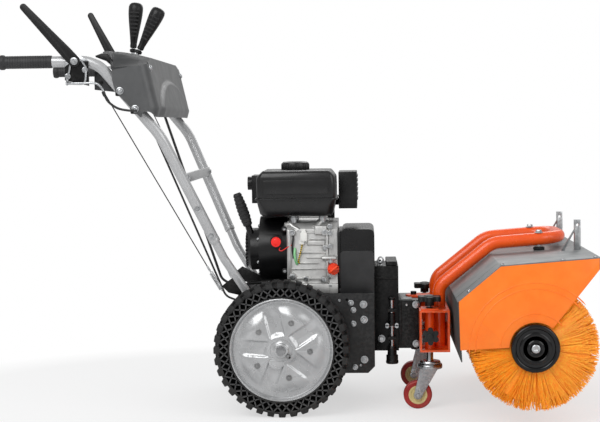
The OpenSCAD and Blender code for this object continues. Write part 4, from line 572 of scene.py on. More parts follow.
def buildFloor():
    mesh = bpy.data.meshes.new("floor")
    mesh.from_pydata([(-14, -14, 0), (14, -14, 0), (14, 14, 0), (-14, 14, 0)], [], [(0, 1, 2, 3)])
    floor = bpy.data.objects.new("floor", mesh)
    bpy.context.scene.collection.objects.link(floor)
    mat = bpy.data.materials.new("paleFloor")
    mat.use_nodes = True
    tree = mat.node_tree
    shader = tree.nodes["Principled BSDF"]
    shade = lightSet["floor"]
    shader.inputs["Roughness"].default_value = 0.85
    shader.inputs["Specular IOR Level"].default_value = 0.1
    mottled = noiseIn(tree, objectCoords(tree), 2.0, 3.0)
    tree.links.new(mixIn(tree, mottled, (shade, shade, shade, 1), (shade * 0.99, shade * 0.99, shade, 1)),
                   shader.inputs["Base Color"])
    away = tree.nodes.new("ShaderNodeVectorMath")
    away.operation = "LENGTH"
    tree.links.new(objectCoords(tree, (0.72, 1, 1)), away.inputs[0])
    far = mathIn(tree, "MAXIMUM", rangeIn(tree, away.outputs["Value"], *lightSet["fade"]), lightSet["lift"])
    white = tree.nodes.new("ShaderNodeEmission")  # the floor runs out into the white ground of the photo
    ground = tree.nodes.new("ShaderNodeMixShader")
    tree.links.new(mathIn(tree, "MULTIPLY", far, seenMask(tree)), ground.inputs[0])
    tree.links.new(shader.outputs[0], ground.inputs[1])
    tree.links.new(white.outputs[0], ground.inputs[2])
    tree.links.new(ground.outputs[0], tree.nodes["Material Output"].inputs["Surface"])
    mesh.materials.append(mat)


buildFloor()
print("camera, floor and lights set")


def smooth(lo, hi, v):
    t = max(0.0, min(1.0, (v - lo) / (hi - lo)))
    return t * t * (3 - 2 * t)


def lerpTable(table, v):
    for (a, p), (b, q) in zip(table, table[1:]):
        if v <= b:
            return p + (q - p) * max(0.0, (v - a) / (b - a))
    return table[-1][1]


# wheels: staggered tread blocks, lattice side walls, pressed rims with five channels
wheelSet = {"axleZ": 177, "lugs": 36, "cells": 44, "lugHalf": 8.5, "ribHalf": 1.5, "segs": 160,
            "channels": (33, 105, 177, 249, 321), "channelHalf": 19, "padRise": 9, "rivetR": 75}


def wheelPoint(r, a, h, side):
    return at(r * math.cos(a), side * h, wheelSet["axleZ"] + r * math.sin(a))


def buildTyre(side):
    bm = bmesh.new()
    wall = [(136, 182), (136, 268), (138, 269), (139.4, 266), (139.8, 249), (161, 249), (162, 264),
            (164, 266), (167.4, 262), (169, 255), (169, 195), (167.4, 188), (164, 184), (162, 186),
            (161, 201), (139.8, 201), (139.4, 184), (138, 181)]
    lathe(bm, wall, at(0, 0, wheelSet["axleZ"]), (0, side, 0), 108, 0, loop=True)
    hub = at(0, 0, wheelSet["axleZ"])
    for f in bm.faces:
        c = f.calc_center_median() - hub
        r = math.hypot(c.x, c.z) * 1000
        # faces of the recessed lattice band take the near-black rubber, painted shade
        if 139.2 < r < 162.2:
            f.material_index = 1
    half = wheelSet["ribHalf"]
    for k in range(wheelSet["cells"]):
        a, b = (2 * math.pi * (k + i) / wheelSet["cells"] for i in (0, 1))
        for p, q in ((a, b), (b, a)):
            for lo, hi in ((250, 265.5), (184.5, 200)):
                s, e = wheelPoint(138.8, p, 0, side), wheelPoint(163, q, 0, side)
                n = (e - s).cross(Vector((0, 1, 0))).normalized() * (half / 1000)
                y0, y1 = Vector((0, side * lo / 1000, 0)), Vector((0, side * hi / 1000, 0))
                skinRings(bm, [[s + n + y0, s - n + y0, s - n + y1, s + n + y1],
                               [e + n + y0, e - n + y0, e - n + y1, e + n + y1]], mat=2)
    row = [(226.5, 166), (226.5, 175), (228.5, 177), (262, 177), (267, 173.8), (269.6, 164), (268, 160.5),
           (262, 165)]
    rows = [row, [(450 - h, r) for h, r in row[::-1]]]
    for which, shape in enumerate(rows):
        midH = sum(h for h, _ in shape) / len(shape)
        for k in range(wheelSet["lugs"]):
            a = 2 * math.pi * (k + 0.5 * which) / wheelSet["lugs"]
            along = Vector((-math.sin(a), 0, math.cos(a)))
            rings = []
            for t, inset in ((-1, 1.3), (-0.84, 0), (0.84, 0), (1, 1.3)):
                ring = []
                for h, r in shape:
                    rr = r - inset if r > 168 else r
                    hh = h + (midH - h) * inset * 0.03
                    reach = wheelSet["lugHalf"] * (1 + (177 - r) * 0.008) * t
                    ring.append(wheelPoint(rr, a, hh, side) + along * (reach / 1000))
                rings.append(ring)
            skinRings(bm, rings, mat=0)
    return bm


def rimHeight(r, a):
    base = lerpTable([(24, 263), (36, 263), (46, 258), (70, 255), (98, 252), (112, 249.5), (124, 249)], r)
    near = 999
    for c in wheelSet["channels"]:
        d = a - math.radians(c)
        if math.cos(d) > 0:
            near = min(near, abs(math.sin(d)) * r)
    half = wheelSet["channelHalf"]
    pad = 0.55 * smooth(half - 2, half + 3, near) + 0.45 * smooth(half, half + 34, near)
    pad -= 0.5 * max(0, 1 - near / half)
    pad *= (1 - smooth(86, 120, r)) * smooth(30, 48, r)
    return base + wheelSet["padRise"] * pad


def buildRim(side):
    bm = bmesh.new()
    turn = [2 * math.pi * i / wheelSet["segs"] for i in range(wheelSet["segs"])]
    rings = []
    r = 24
    while r <= 124:
        rings.append([wheelPoint(r, a, rimHeight(r, a), side) for a in turn])
        r += 2.5
    for r, h in ((126, 249.5), (127.6, 253), (128.2, 260), (129.5, 264.5), (132, 266.6), (134.6, 265.8),
                 (136, 262.5), (135.8, 256), (132, 250), (130.5, 245), (130.5, 192), (133, 186), (136, 183),
                 (133.6, 182.4), (128, 190), (128, 243), (124, 245.5), (60, 250), (24, 254)):
        rings.append([wheelPoint(r, a, h, side) for a in turn])
    skinRings(bm, rings, loop=True)
    middle = at(0, 0, wheelSet["axleZ"])
    lathe(bm, [(12.4, 250), (30, 250), (30, 262), (28, 264.5), (20, 265.5), (18.5, 267), (18, 277),
               (16.5, 278), (12.4, 278)], middle, (0, side, 0), 48, 0, loop=True)
    tab = [(-13 + 21 * math.cos(math.radians(d)), 177 - 30 + 21 * math.sin(math.radians(d)))
           for d in range(170, 371, 12)]
    prism(bm, tab, "y", side * 258, side * 263.5, 1.2)
    bolt(bm, at(18, side * 274, 164), (0, side, 0), 5, 7, 1)
    lathe(bm, [(3, 260), (3, 279), (2, 280)], at(22, 0, 160), (0, side, 0), 16, 2)
    for c in wheelSet["channels"]:
        a = math.radians(c - 36)
        spot = wheelPoint(wheelSet["rivetR"], a, rimHeight(wheelSet["rivetR"], a) - 0.6, side)
        bolt(bm, spot, (0, side, 0), 5.6, 6, 1)
    return bm


def join(a, b):
    addInto(a, b)
    return a


standFor(join(buildTyre(-1), buildTyre(1)), "tyres", [tyreRubber, recessPaintedShade, tyreRib], "tyrePair")
standFor(join(buildRim(-1), buildRim(1)), "rims", [rimSilver, bearingSteel, frameBlack],
         "rimPair", 40)
print("wheels built")


# brush: tufted strands over a dense heart, black stepped caps
brushSet = {"x": 638, "z": 200, "tip": 156.5, "heart": 136, "tufts": 430, "strands": 15, "lo": 57,
            "hi": 390}


def brushPoint(r, a, h):
    return at(brushSet["x"] + r * math.cos(a), h, brushSet["z"] + r * math.sin(a))


def ruffle(size, x, y, z):
    return size * noise.noise(Vector((x, y, z)))


def buildBristles(side, seed):
    rng = random.Random(seed)
    bm = bmesh.new()
    lo, hi = brushSet["lo"], brushSet["hi"]
    turn = [2 * math.pi * i / 180 for i in range(180)]
    rings = []
    for r in (46, 66, 92, brushSet["heart"]):
        rings.append([brushPoint(r, a, side * (hi - 3 + ruffle(2.6, a * 26, seed, r * 0.01)))
                      for a in turn])
    for h in (hi - 14, 300, 220, 140, lo + 12):
        rings.append([brushPoint(brushSet["heart"] + ruffle(9, a * 15, h * 0.05, seed), a, side * h)
                      for a in turn])
    for r in (brushSet["heart"], 80, 46):
        rings.append([brushPoint(r, a, side * (lo + 2 + ruffle(2.4, a * 22, seed + 4, r * 0.01)))
                      for a in turn])
    # the heart takes the darker orange, painted shade
    skinRings(bm, rings, caps=(False, False), mat=1)
    for t in range(brushSet["tufts"]):
        place = rng.random()
        if place < 0.3:
            h0 = hi - abs(rng.gauss(0, 7))
        elif place < 0.4:
            h0 = lo + abs(rng.gauss(0, 7))
        else:
            h0 = rng.uniform(lo, hi)
        a0 = rng.random() * 2 * math.pi
        sway, drift = rng.gauss(0, 0.055), rng.gauss(0, 5)
        reach = brushSet["tip"] + rng.gauss(0, 2.0)
        for s in range(brushSet["strands"]):
            a = a0 + rng.gauss(0, 0.05)
            h = max(lo - 1, min(hi, h0 + rng.gauss(0, 6)))
            tip = min(159.5, reach + rng.gauss(0, 2.4) - (9 * rng.random() if rng.random() < 0.12 else 0))
            lean = sway + rng.gauss(0, 0.035)
            slip = max(lo - 3 - h, min(hi + 2 - h, drift + rng.gauss(0, 4)))
            w = rng.uniform(0.8, 1.15)
            rings = []
            for share, thick in ((0.0, 1.0), (0.55, 1.0), (1.0, 0.8)):
                r = 58 + (tip - 58) * share
                c = brushPoint(r, a + lean * share * share, side * (h + slip * share * share))
                along = Vector((-math.sin(a), 0, math.cos(a))) * (w * thick / 1000)
                out = Vector((0, w * thick / 1000, 0))
                rings.append([c + along, c - along * 0.5 + out * 0.87, c - along * 0.5 - out * 0.87])
            skinRings(bm, rings, caps=(False, True), mat=0)
    return bm


for side, half, seed in ((-1, "right", 7), (1, "left", 11)):
    standFor(buildBristles(side, seed), "bristles_" + half, [bristleOrange, bristleHeartPaintedShade])

axlePart = softCopy("brush_axle", 1.5)
for side in (-1, 1):
    hub = brushPoint(0, 0, 0)
    lathe(axlePart, [(60.4, 392), (60.4, 402), (59.6, 405), (57.5, 407), (54.5, 407.8), (51, 407),
                     (48.6, 405), (47.5, 402.6)], hub, (0, side, 0), 72, 0)
    lathe(axlePart, [(40.5, 402.6), (39.6, 405), (37, 406.6), (33, 406.6), (30.5, 405), (29.5, 402.6)], hub,
          (0, side, 0), 60, 0)
    lathe(axlePart, [(22, 402.6), (21.4, 405.4), (19, 407), (15.5, 407), (13.5, 405.4)], hub, (0, side, 0),
          48, 0)
    lathe(axlePart, [(10.5, 403), (10.5, 408.6), (9, 409.6), (4, 409.8), (3.4, 408.4)], hub, (0, side, 0),
          32, 1)
standFor(axlePart, "brush_axle", [brushBlack, zincPlate])
print("brush built")


# handle: bent tubes, grips, levers, cables and springs
handleSet = {"foot": (-96, 162, 318), "knee": (-153, 187, 410), "bow": (-301, 284, 737),
             "neck": (-459, 305, 928), "end": (-706, 305, 928), "upperR": 14, "lowerR": 11.5}


def sided(key, side):
    x, y, z = handleSet[key]
    return at(x, side * y, z)


tubes = bmesh.new()
grips = bmesh.new()
for side in (-1, 1):
    run = bendPath([sided(k, side) for k in ("foot", "knee", "bow", "neck", "end")], (90, 160, 75), 14)
    knee, bow = sided("knee", side), sided("bow", side)
    joint = knee + (bow - knee).normalized() * 0.052
    rise = bow - knee
    cut = next(i for i, p in enumerate(run) if min((p - knee).dot(rise), (p - joint).dot(rise)) > 0)
    tube(tubes, run[:cut] + [joint + (bow - knee).normalized() * 0.03], handleSet["lowerR"], 28)
    tube(tubes, [joint] + run[cut:], handleSet["upperR"], 32)
    lathe(tubes, [(14.0, -0.5), (14.5, 1), (14.5, 9), (14.0, 11)], joint, bow - knee, 32)
    for share in (0.06, 0.317):
        spot = joint + (bow - joint) * share
        face = Vector((0, side, 0))
        bolt(tubes, spot + face * 0.0132, face, 6.4, 7, 1)
    bolt(tubes, at(-237, side * 241, 626), (1, 0, 0), 6, 6, 1)
    ribs = [(14.2, 0), (16, 1.5), (16.2, 5)]
    for i in range(17):
        h = 8 + i * 6.6
        ribs += [(16.3, h), (16.3, h + 4.4), (15.7, h + 5.1), (15.7, h + 6.1)]
    ribs += [(16.4, 121), (18.6, 124), (19, 127), (19, 132), (17.6, 135.4), (14, 136.4)]
    lathe(grips, ribs, at(-570, side * 305, 928), (-1, 0, 0), 44)
block(tubes, (-243, -251, 613.5), (-236.4, 251, 638.5), 1.4, 0)
standFor(tubes, "handle_tubes", [tubeSilver, zincPlate])
standFor(grips, "grips", [gripRubber], "handGrips")


def coil(bm, a, b, coilR, wireR, turns, mat=0):
    axis = (b - a).normalized()
    u, v = sideAxes(axis)
    n = turns * 14
    pts = [a]
    for i in range(n + 1):
        t = i / n
        turnBy = 2 * math.pi * turns * t
        grow = min(1.0, t * turns * 2, (1 - t) * turns * 2)
        spin = u * math.cos(turnBy) + v * math.sin(turnBy)
        pts.append(a + (b - a) * (0.06 + 0.88 * t) + spin * (coilR * grow / 1000))
    tube(bm, pts + [b], wireR, 7, mat)


cables = bmesh.new()
for side in (-1, 1):
    y = side * 330.5
    noodle = smoothPath([at(-532, y, 872), at(-490, y, 872), at(-456, y, 871), at(-441, y, 860),
                         at(-434, y, 842)], 8)
    sheath = smoothPath([at(-434, y, 842), at(-424, y, 824), at(-402, y, 808), at(-378, y, 802),
                         at(-352, y, 800)], 8)
    tube(cables, noodle, 3.0, 12, 1)
    tube(cables, sheath, 3.0, 12, 0)
    lathe(cables, [(4.4, 0), (4.6, 3), (4.2, 11), (3, 13)], at(-437, y, 850), (0.35, 0, -1), 16, 0)
    lathe(cables, [(5.5, 0), (5.5, 3), (4, 3.4), (4, 12), (3, 12.6)], at(-530, y, 872), (1, 0, 0), 6, 1)
    wireEnd = at(-192, side * 176, 376)
    wireTop = at(-440.5, y, 858)
    tube(cables, [wireTop + (wireEnd - wireTop) * (i / 12) for i in range(13)], 1.5, 8, 0)
    coil(cables, wireEnd, at(-163, side * 147.5, 318), 5, 1.0, 13, 1)
    lathe(cables, [(2.6, 0), (2.8, 4), (2.4, 14), (1.6, 16)], wireEnd, wireTop - wireEnd, 12, 1)
# rods of the two knob levers
for knots, thick in (([(-352, 30, 842), (-334, 30, 788), (-183, 30, 332), (-113, 30, 288)], 3.6),
                     ([(-418, -45, 893), (-300, -45, 615), (-164, -45, 292), (-113, -45, 272)], 2.8)):
    tube(cables, bendPath([at(*k) for k in knots], (30, 30), 6), thick, 12, 0)
standFor(cables, "clutch_cables", [cableBlack, zincPlate])

for node, side in (("drive_lever", -1), ("brush_lever", 1)):
    part = softCopy(node, 1.8, 28, 3)
    bolt(part, at(-510, side * 327.3, 928), (0, side, 0), 6.5, 5, 1)
    standFor(part, node, [leverBlack, zincPlate])
brackets = softCopy("lever_brackets", 0.5)
for f in brackets.faces:  # dark plates, bright pins
    f.material_index = 1 if f.calc_area() > 0.0012 else 0
for side in (-1, 1):
    arm = [(-531, 884), (-524, 902), (-520, 920), (-508, 934), (-494, 930), (-482, 914)]
    tube(brackets, smoothPath([at(x, side * 323.4, z) for x, z in arm], 6), 2.6, 10, 0)
    tray = [(-531, 884), (-526, 874), (-505, 871), (-486, 873), (-482, 890), (-482, 914)]
    tube(brackets, smoothPath([at(x, side * 323.4, z) for x, z in tray], 6), 3.2, 10, 0)
    bolt(brackets, at(-528, side * 321.6, 890), (0, side, 0), 5, 5, 0)
    bolt(brackets, at(-484, side * 321.6, 906), (0, side, 0), 5, 5, 0)
standFor(brackets, "lever_brackets", [zincPlate, frameBlack])


def buildKnobLever(y, tilt):
    bm = bmesh.new()
    axis = Vector((math.sin(math.radians(tilt)), 0, math.cos(math.radians(tilt))))
    foot = at(-425, y, 905)
    lathe(bm, [(5, -6), (5, 80)], foot, axis, 20, 1)
    lathe(bm, [(6, 62), (9.4, 64), (9.4, 70), (7, 72)], foot, axis, 24, 0)
    pear = [(6, 74), (9, 75.5), (9.4, 81), (9, 86), (10.2, 96), (12, 110), (14.6, 128), (17.4, 148),
            (19.4, 166), (20, 178), (19.8, 187), (17.6, 194), (12.5, 198.4), (5, 200)]
    lathe(bm, pear, foot, axis, 40, 0)
    u = Vector((0, 1, 0))
    v = axis.cross(u)
    for i in range(7):  # finger slots between raised bars on both faces
        h = 108 + i * 10.6
        r = lerpTable([(a, b) for b, a in pear], h)
        for face in (-1, 1):
            c = foot + axis * (h / 1000) + u * (face * (r - 1.2) / 1000)
            w = r * 0.66 / 1000
            bar = [c + v * (w * s) + axis * (k * 0.0021) for s, k in ((-1, -1), (1, -1), (1, 1), (-1, 1))]
            lift = u * (face * 0.0028)
            skinRings(bm, [bar, [p + lift for p in bar]], mat=0)
    return bm


for node, y, tilt in (("speed_lever", 30, 5), ("turn_lever", -30, 27.5)):
    standFor(buildKnobLever(y, tilt), node, [leverBlack, zincPlate],
             node.split("_")[0] + "KnobLever")
print("handle built")


# console: crowned top sheet, one wrapped wall with wide bends, bulged front apron
consoleSet = {"half": 322, "sheet": 2.4, "bend": 30, "brow": (-330, 938), "nose": (-300, 806),
              "chin": (-306, 784)}
crownLine = [(-496, 962), (-440, 957.5), (-400, 954), (-365, 947), (-330, 938)]
edgeLine = [(-416, 908), (-404, 911), (-350, 915.5), (-330, 917)]
rearLine = [(784, -346), (849, -408), (880, -416), (962, -416)]


def topZ(x, y):
    crown, edge = lerpTable(crownLine, x), lerpTable(edgeLine, max(x, -416))
    drop = 1 - smooth(1.0, 0.72, abs(y) / consoleSet["half"])
    return crown - (crown - edge) * drop * (1 if x > -417 else 0.75)


def frontX(z):
    (bx, bz), (nx, nz), (cx, cz) = (consoleSet[k] for k in ("brow", "nose", "chin"))
    return lerpTable([(cz, cx), (nz, nx), (bz, bx)], z)


def wallPoint(kind, s, z):  # the wall's plan at height z, near half
    half, bend = consoleSet["half"], consoleSet["bend"]
    start = frontX(z) - bend
    if kind == "side":
        rear = lerpTable(rearLine, z)
        return rear + (start - rear) * s, half - 3 * (1 - smooth(0, 0.7, s))
    if kind == "bend":
        return start + bend * math.sin(s * math.pi / 2), half - bend + bend * math.cos(s * math.pi / 2)
    y = (half - bend) * (1 - s)
    arch = math.hypot(y / 262, max(0, z - 784) / 100)
    return frontX(z) + 8 * (1 - smooth(0.93, 1.01, arch)), y


def tailHalf(x):  # half width of the sheet behind the wall
    return lerpTable([(-484, 70), (-474, 130), (-460, 186), (-445, 228), (-430, 262), (-417, 288)], x)


def buildConsole():
    bm = bmesh.new()
    half, bend = consoleSet["half"], consoleSet["bend"]
    sides = [-1, -0.985, -0.955, -0.91, -0.86, -0.8, -0.7, -0.4, 0, 0.4, 0.7, 0.8, 0.86, 0.91, 0.955, 0.985,
             1]
    rows = []
    for x in [-484, -474, -466, -456, -443, -430, -416.5, -404, -392, -380, -370, -360, -352, -345, -339,
              -334, -331, -330]:
        wide = half if x > -417 else tailHalf(x)
        if x > -360:
            wide = half - bend + math.sqrt(max(0.0, bend ** 2 - (x + 330 + bend) ** 2))
        row = []
        for s in sides:
            z = topZ(x, s * wide)
            row.append(at(x + (frontX(z) + 330) * smooth(-400, -345, x), s * wide, z))
        rows.append(row)
    # the top sheet takes the darker console grey, painted shade
    skinRings(bm, rows, closed=False, caps=(False, False), mat=3)
    columns = []
    for kind, parts, count in (("side", 18, 18), ("bend", 10, 10), ("front", 22, 23)):
        columns += [(kind, i / parts) for i in range(count)]
    grid = []
    for kind, s in columns:
        low = 784.0
        if kind == "side":
            low += 14 * smooth(0.3, 0.9, s)
        elif kind == "bend":
            low += 14 * (1 - smooth(0.1, 0.9, s))
        top = 917.0
        for _ in range(4):
            x, y = wallPoint(kind, s, top)
            top = topZ(min(x, -330), y)
        levels = [low + (top - low) * k / 30 for k in range(31)]
        grid.append([wallPoint(kind, s, z) + (z,) for z in levels])
    for side in (-1, 1):
        skinRings(bm, [[at(x, side * y, z) for x, y, z in col] for col in grid], closed=False,
                  caps=(False, False))
    bmesh.ops.remove_doubles(bm, verts=bm.verts, dist=2e-5)
    bmesh.ops.recalc_face_normals(bm, faces=bm.faces)
    bmesh.ops.solidify(bm, geom=bm.faces[:], thickness=consoleSet["sheet"] / 1000)
    for side in (-1, 1):
        studs = [((-395.8, side * 320.5, 851.6), (0, side, 0)),
                 ((-357.9, side * 321.4, 805.8), (0, side, 0)),
                 ((-323.6, side * 285, 908.8), (0.975, 0, 0.222))]
        for place, axis in studs:
            lathe(bm, [(9.4, 0), (9.4, 1.2), (8.6, 1.6)], at(*place), axis, 28, 1)
            lathe(bm, [(7, 1), (6.8, 3.2), (5, 5.2), (2.6, 5.8), (2.2, 4.2)], at(*place), axis, 24, 1)
        for x, z in ((-395.8, 851.6), (-357.9, 805.8)):
            block(bm, (x - 15, side * 296 - 12, z - 13), (x + 15, side * 296 + 12, z + 13), 3, 2)
        gusset = [(-465, 943), (-448, 949), (-431, 947), (-413, 920), (-417, 911), (-437, 929), (-463, 939)]
        prism(bm, gusset, "y", side * 279 - 2.5, side * 279 + 2.5, 0.8, 2)
        # the holder under the top sheet takes the same painted-shade grey
        holder = [(-468, 902), (-437, 910), (-409, 879), (-409, 849), (-468, 856)]
        prism(bm, holder, "y", side * 272 - 12, side * 272 + 12, 1.5, 3)
        for x, z in ((-450, 874), (-424, 866)):
            screw(bm, at(x, side * 283.8, z), (0, side, 0), 5, 3, 2)
        run = [-444, -428, -412, -400, -388, -376, -365, -356]
        lip = [(x, topZ(x, 30) + 1.8) for x in run] + [(x, topZ(x, 30) - 1.5) for x in run[::-1]]
        prism(bm, lip, "y", side * 30 - 13, side * 30 + 13, 0.8, 2)
    return bm


standFor(buildConsole(), "console", [consoleGrey, zincPlate, frameBlack, consoleTop],
         "consoleShell", 40)
print("console built")


# chassis: plates, deck, hitch and arm boxes with their bolts
chassisSoft = {"side_plates": 0.8, "engine_deck": 0.8, "housing_panels": 0.8, "handle_brackets": 0.8}
for node, width in chassisSoft.items():
    finish = plateGrey if node == "side_plates" else frameBlack
    part = softCopy(node, width)
    if node == "side_plates":
        for side in (-1, 1):
            for x, z in ((-60, 250), (-60, 130), (60, 278), (60, 112), (150, 292), (205, 118)):
                screw(part, at(x, side * 158.8, z), (0, side, 0), 4, 2.6, 1)
            # the small cup takes the near-black finish, painted shade
            lathe(part, [(3.4, 0), (3.4, 0.9), (2.4, 1.1), (2.2, 0.2)], at(170, side * 158.9, 294),
                  (0, side, 0), 18, 2)
    standFor(part, node, [finish, zincPlate, recessPaintedShade])

bearings = softCopy("shaft_bearings", 0.8)
for side in (-1, 1):
    for d in range(4):
        a = math.radians(45 + 90 * d)
        screw(bearings, at(25 * math.cos(a), side * 163.5, 177 + 25 * math.sin(a)), (0, side, 0), 3.6, 3, 1)
standFor(bearings, "shaft_bearings", [bearingSteel, zincPlate])

hitch = softCopy("hitch_box", 2.0)
for side in (-1, 1):
    for x, z in ((252, 330), (251, 240), (252, 160)):
        screw(hitch, at(x, side * 74.8, z), (0, side, 0), 4, 2.6, 0)
    block(hitch, (246, side * 75 - 3, 338), (306, side * 75 + 3, 346), 1.2, 0)
    bolt(hitch, at(262, side * 74.8, 176), (0, side, 0), 7, 7, 1)
for x, y in ((258, -42), (292, -42), (258, 42), (292, 42)):
    bolt(hitch, at(x, y, 373.8), (0, 0, 1), 6, 7, 1)
block(hitch, (276, -70, 373), (306, 70, 386), 2, 0)
hook = smoothPath([at(255, -58, 374), at(254, -58, 388), at(260, -58, 397), at(268, -58, 393),
                   at(267, -58, 384), at(259, -58, 382), at(252, -58, 390)], 8)
tube(hitch, hook, 2.2, 10, 1)
standFor(hitch, "hitch_box", [frameBlack, zincPlate])

arm = softCopy("arm_box", 2.0)
for side in (-1, 1):
    block(arm, (311, side * 78 - 2, 152), (317, side * 78 + 2, 279), 1, 0)
    screw(arm, at(330, side * 77.8, 268), (0, side, 0), 4, 3, 1)
block(arm, (314, -66, 280), (346, 66, 283.4), 1.2, 2)
standFor(arm, "arm_box", [frameBlack, zincPlate, hoodGrey])

latch = softCopy("swivel_latch", 1.2)
latchX, latchY = 290, -89
for f in latch.faces:  # the bare rod is bright
    c = f.calc_center_median() - at(latchX, latchY, 0)
    if math.hypot(c.x, c.y) < 0.0062 and abs(f.normal.z) < 0.5:
        f.material_index = 1
lathe(latch, [(7, 222), (9.6, 223), (9.6, 248), (7, 249)], at(latchX, latchY, 0), (0, 0, 1), 28, 0)
for z in (212, 217):
    for dx in (-13, 13):
        tube(latch, [at(latchX, latchY, z), at(latchX + dx * 0.8, latchY - 5, z)], 2.4, 10, 1)
        lathe(latch, [(4.6, -2.4), (4.6, 2.4), (2.4, 2.8)], at(latchX + dx, latchY - 6, z), (0, 1, 0), 16,
              1)
lathe(latch, [(15.4, 110.5), (17, 113), (17, 118), (13, 124), (12.4, 150), (10.4, 156), (9, 158)],
      at(latchX, latchY, 0), (0, 0, 1), 36, 0)
standFor(latch, "swivel_latch", [leverBlack, zincPlate])

fasten = bmesh.new()
for side in (-1, 1):
    for sx, sz in ((0.824, 0.88), (0.918, 0.86), (0.842, 0.79), (0.921, 0.67), (0.842, 0.62), (0.921, 0.17),
                   (0.851, 0.075)):
        big = 7.4 if sx > 0.9 else 5.6
        spot = at(-112 + sx * 355, side * 158.8, 97 + sz * 214)
        lathe(fasten, [(big * 1.36, 0), (big * 1.36, 1.6), (big * 1.2, 2)], spot, (0, side, 0), 28)
        lathe(fasten, [(big, 1.5), (big, 5.4), (big * 0.84, 6.6), (big * 0.4, 6.8)], spot, (0, side, 0), 6)
        lathe(fasten, [(big * 0.45, 6), (big * 0.45, 8.6), (big * 0.3, 9)], spot, (0, side, 0), 14)
    for z in (162, 269):
        bolt(fasten, at(356, side * 77.8, z), (0, side, 0), 7, 6)
    for x, y in ((27, -76), (104, -76), (27, 44), (104, 44)):
        if side < 0:
            lathe(fasten, [(9, 495), (9, 509), (7.6, 510), (7.6, 513.6)], at(x, y, 0), (0, 0, 1), 28)
standFor(fasten, "fasteners", [zincPlate], "boltHeads")
print("chassis built")


# engine: cast block, cowl, recoil, tank, muffler, air cleaner, wiring
case = softCopy("crankcase", 2.5)
faceY = -102
for z, x0, x1, tall in ((416, 40, 119, 5), (402, 60, 119, 3), (387, 44, 96, 4), (371, 14, 119, 2.5),
                        (345, 14, 119, 7), (452, 70, 119, 3), (470, 60, 119, 3)):
    block(case, (x0, faceY - 4.5, z - tall / 2), (x1, faceY + 3, z + tall / 2), 1.2)
for x, w in ((118, 4), (16, 5)):
    block(case, (x - w, faceY - 6, 334), (x + w * 0.8, faceY + 3, 478), 2)
block(case, (64, faceY - 3.5, 434), (112, faceY + 2, 448), 2.5)
block(case, (84, faceY - 6, 462), (118, faceY + 2, 488), 4)
for x, z, r in ((24, 350, 9), (107, 342, 8), (112, 428, 7), (24, 470, 8), (112, 470, 8), (60, 345, 7)):
    lathe(case, [(r * 1.25, -3), (r * 1.2, 5), (r, 7)], at(x, faceY, z), (0, -1, 0), 28)
    bolt(case, at(x, faceY - 6.6, z), (0, -1, 0), r * 0.62, 5, 1)
lathe(case, [(5, 0), (6.5, 4), (6.5, 34), (5, 38), (3, 38.6)], at(104, faceY - 5, 400), (1, 0, 0), 24)
for x0, z0, x1, z1 in ((13, 494, 44, 474), (98, 496, 84, 482)):
    tube(case, [at(x0, -78, z0), at((x0 + x1) / 2, -88, (z0 + z1) / 2 - 2), at(x1, -97, z1)], [9, 8, 7], 16)
lathe(case, [(12, 482), (12, 494), (10, 496)], at(13, -78, 0), (0, 0, 1), 28)
standFor(case, "crankcase", [engineAluminium, zincPlate], "engineCase")

cover = softCopy("crankcase_cover", 2.5)
for z in (326, 352, 392, 432, 468, 486):
    lathe(cover, [(7.5, 0), (7, 14), (6, 15)], at(126, faceY + 7, z), (0, -1, 0), 22)
    bolt(cover, at(126, faceY - 7.6, z), (0, -1, 0), 4.4, 4.5, 1)
standFor(cover, "crankcase_cover", [engineAluminium, zincPlate])
standFor(softCopy("cylinder_head", 0.8), "cylinder_head", [engineAluminium])

cowl = softCopy("fan_cowl", 5.0, 32, 3)
for side in (-1, 1):
    for z in (364, 478):
        lathe(cowl, [(8, 0), (7.6, 6), (6, 7)], at(2, side * 84, z), (0, side, 0), 22)
        screw(cowl, at(2, side * 90.8, z), (0, side, 0), 4.5, 3, 1)
standFor(cowl, "fan_cowl", [engineBlack, zincPlate])

recoil = softCopy("recoil_cover", 3.0, 32, 3)
for d in range(28):  # cooling louvres round the starter
    a = 2 * math.pi * d / 28
    er = Vector((0, math.cos(a), math.sin(a)))
    et = Vector((0, -math.sin(a), math.cos(a)))
    c = at(-105.5, 0, 418)
    slat = ((26, -1.6), (50, -2.6), (50, 2.6), (26, 1.6))
    ring = [c + er * (s / 1000) + et * (t / 1000) for s, t in slat]
    skinRings(recoil, [ring, [p + Vector((-0.0026, 0, 0)) for p in ring]], mat=0)
lathe(recoil, [(22, 0), (21, 3), (17, 4), (6, 4.2)], at(-105.5, 0, 418), (-1, 0, 0), 36, 0)
for d in range(6):
    a = 2 * math.pi * (d + 0.5) / 6
    screw(recoil, at(-71, 63 * math.cos(a), 418 + 63 * math.sin(a)), (-1, 0, 0), 5, 5, 1)
standFor(recoil, "recoil_cover", [engineBlack, zincPlate])
pullSet = {"foot": (-92, -30, 458), "lean": (-0.32, 0, 0.947), "from": 26.4, "long": 96, "grooves": 9}


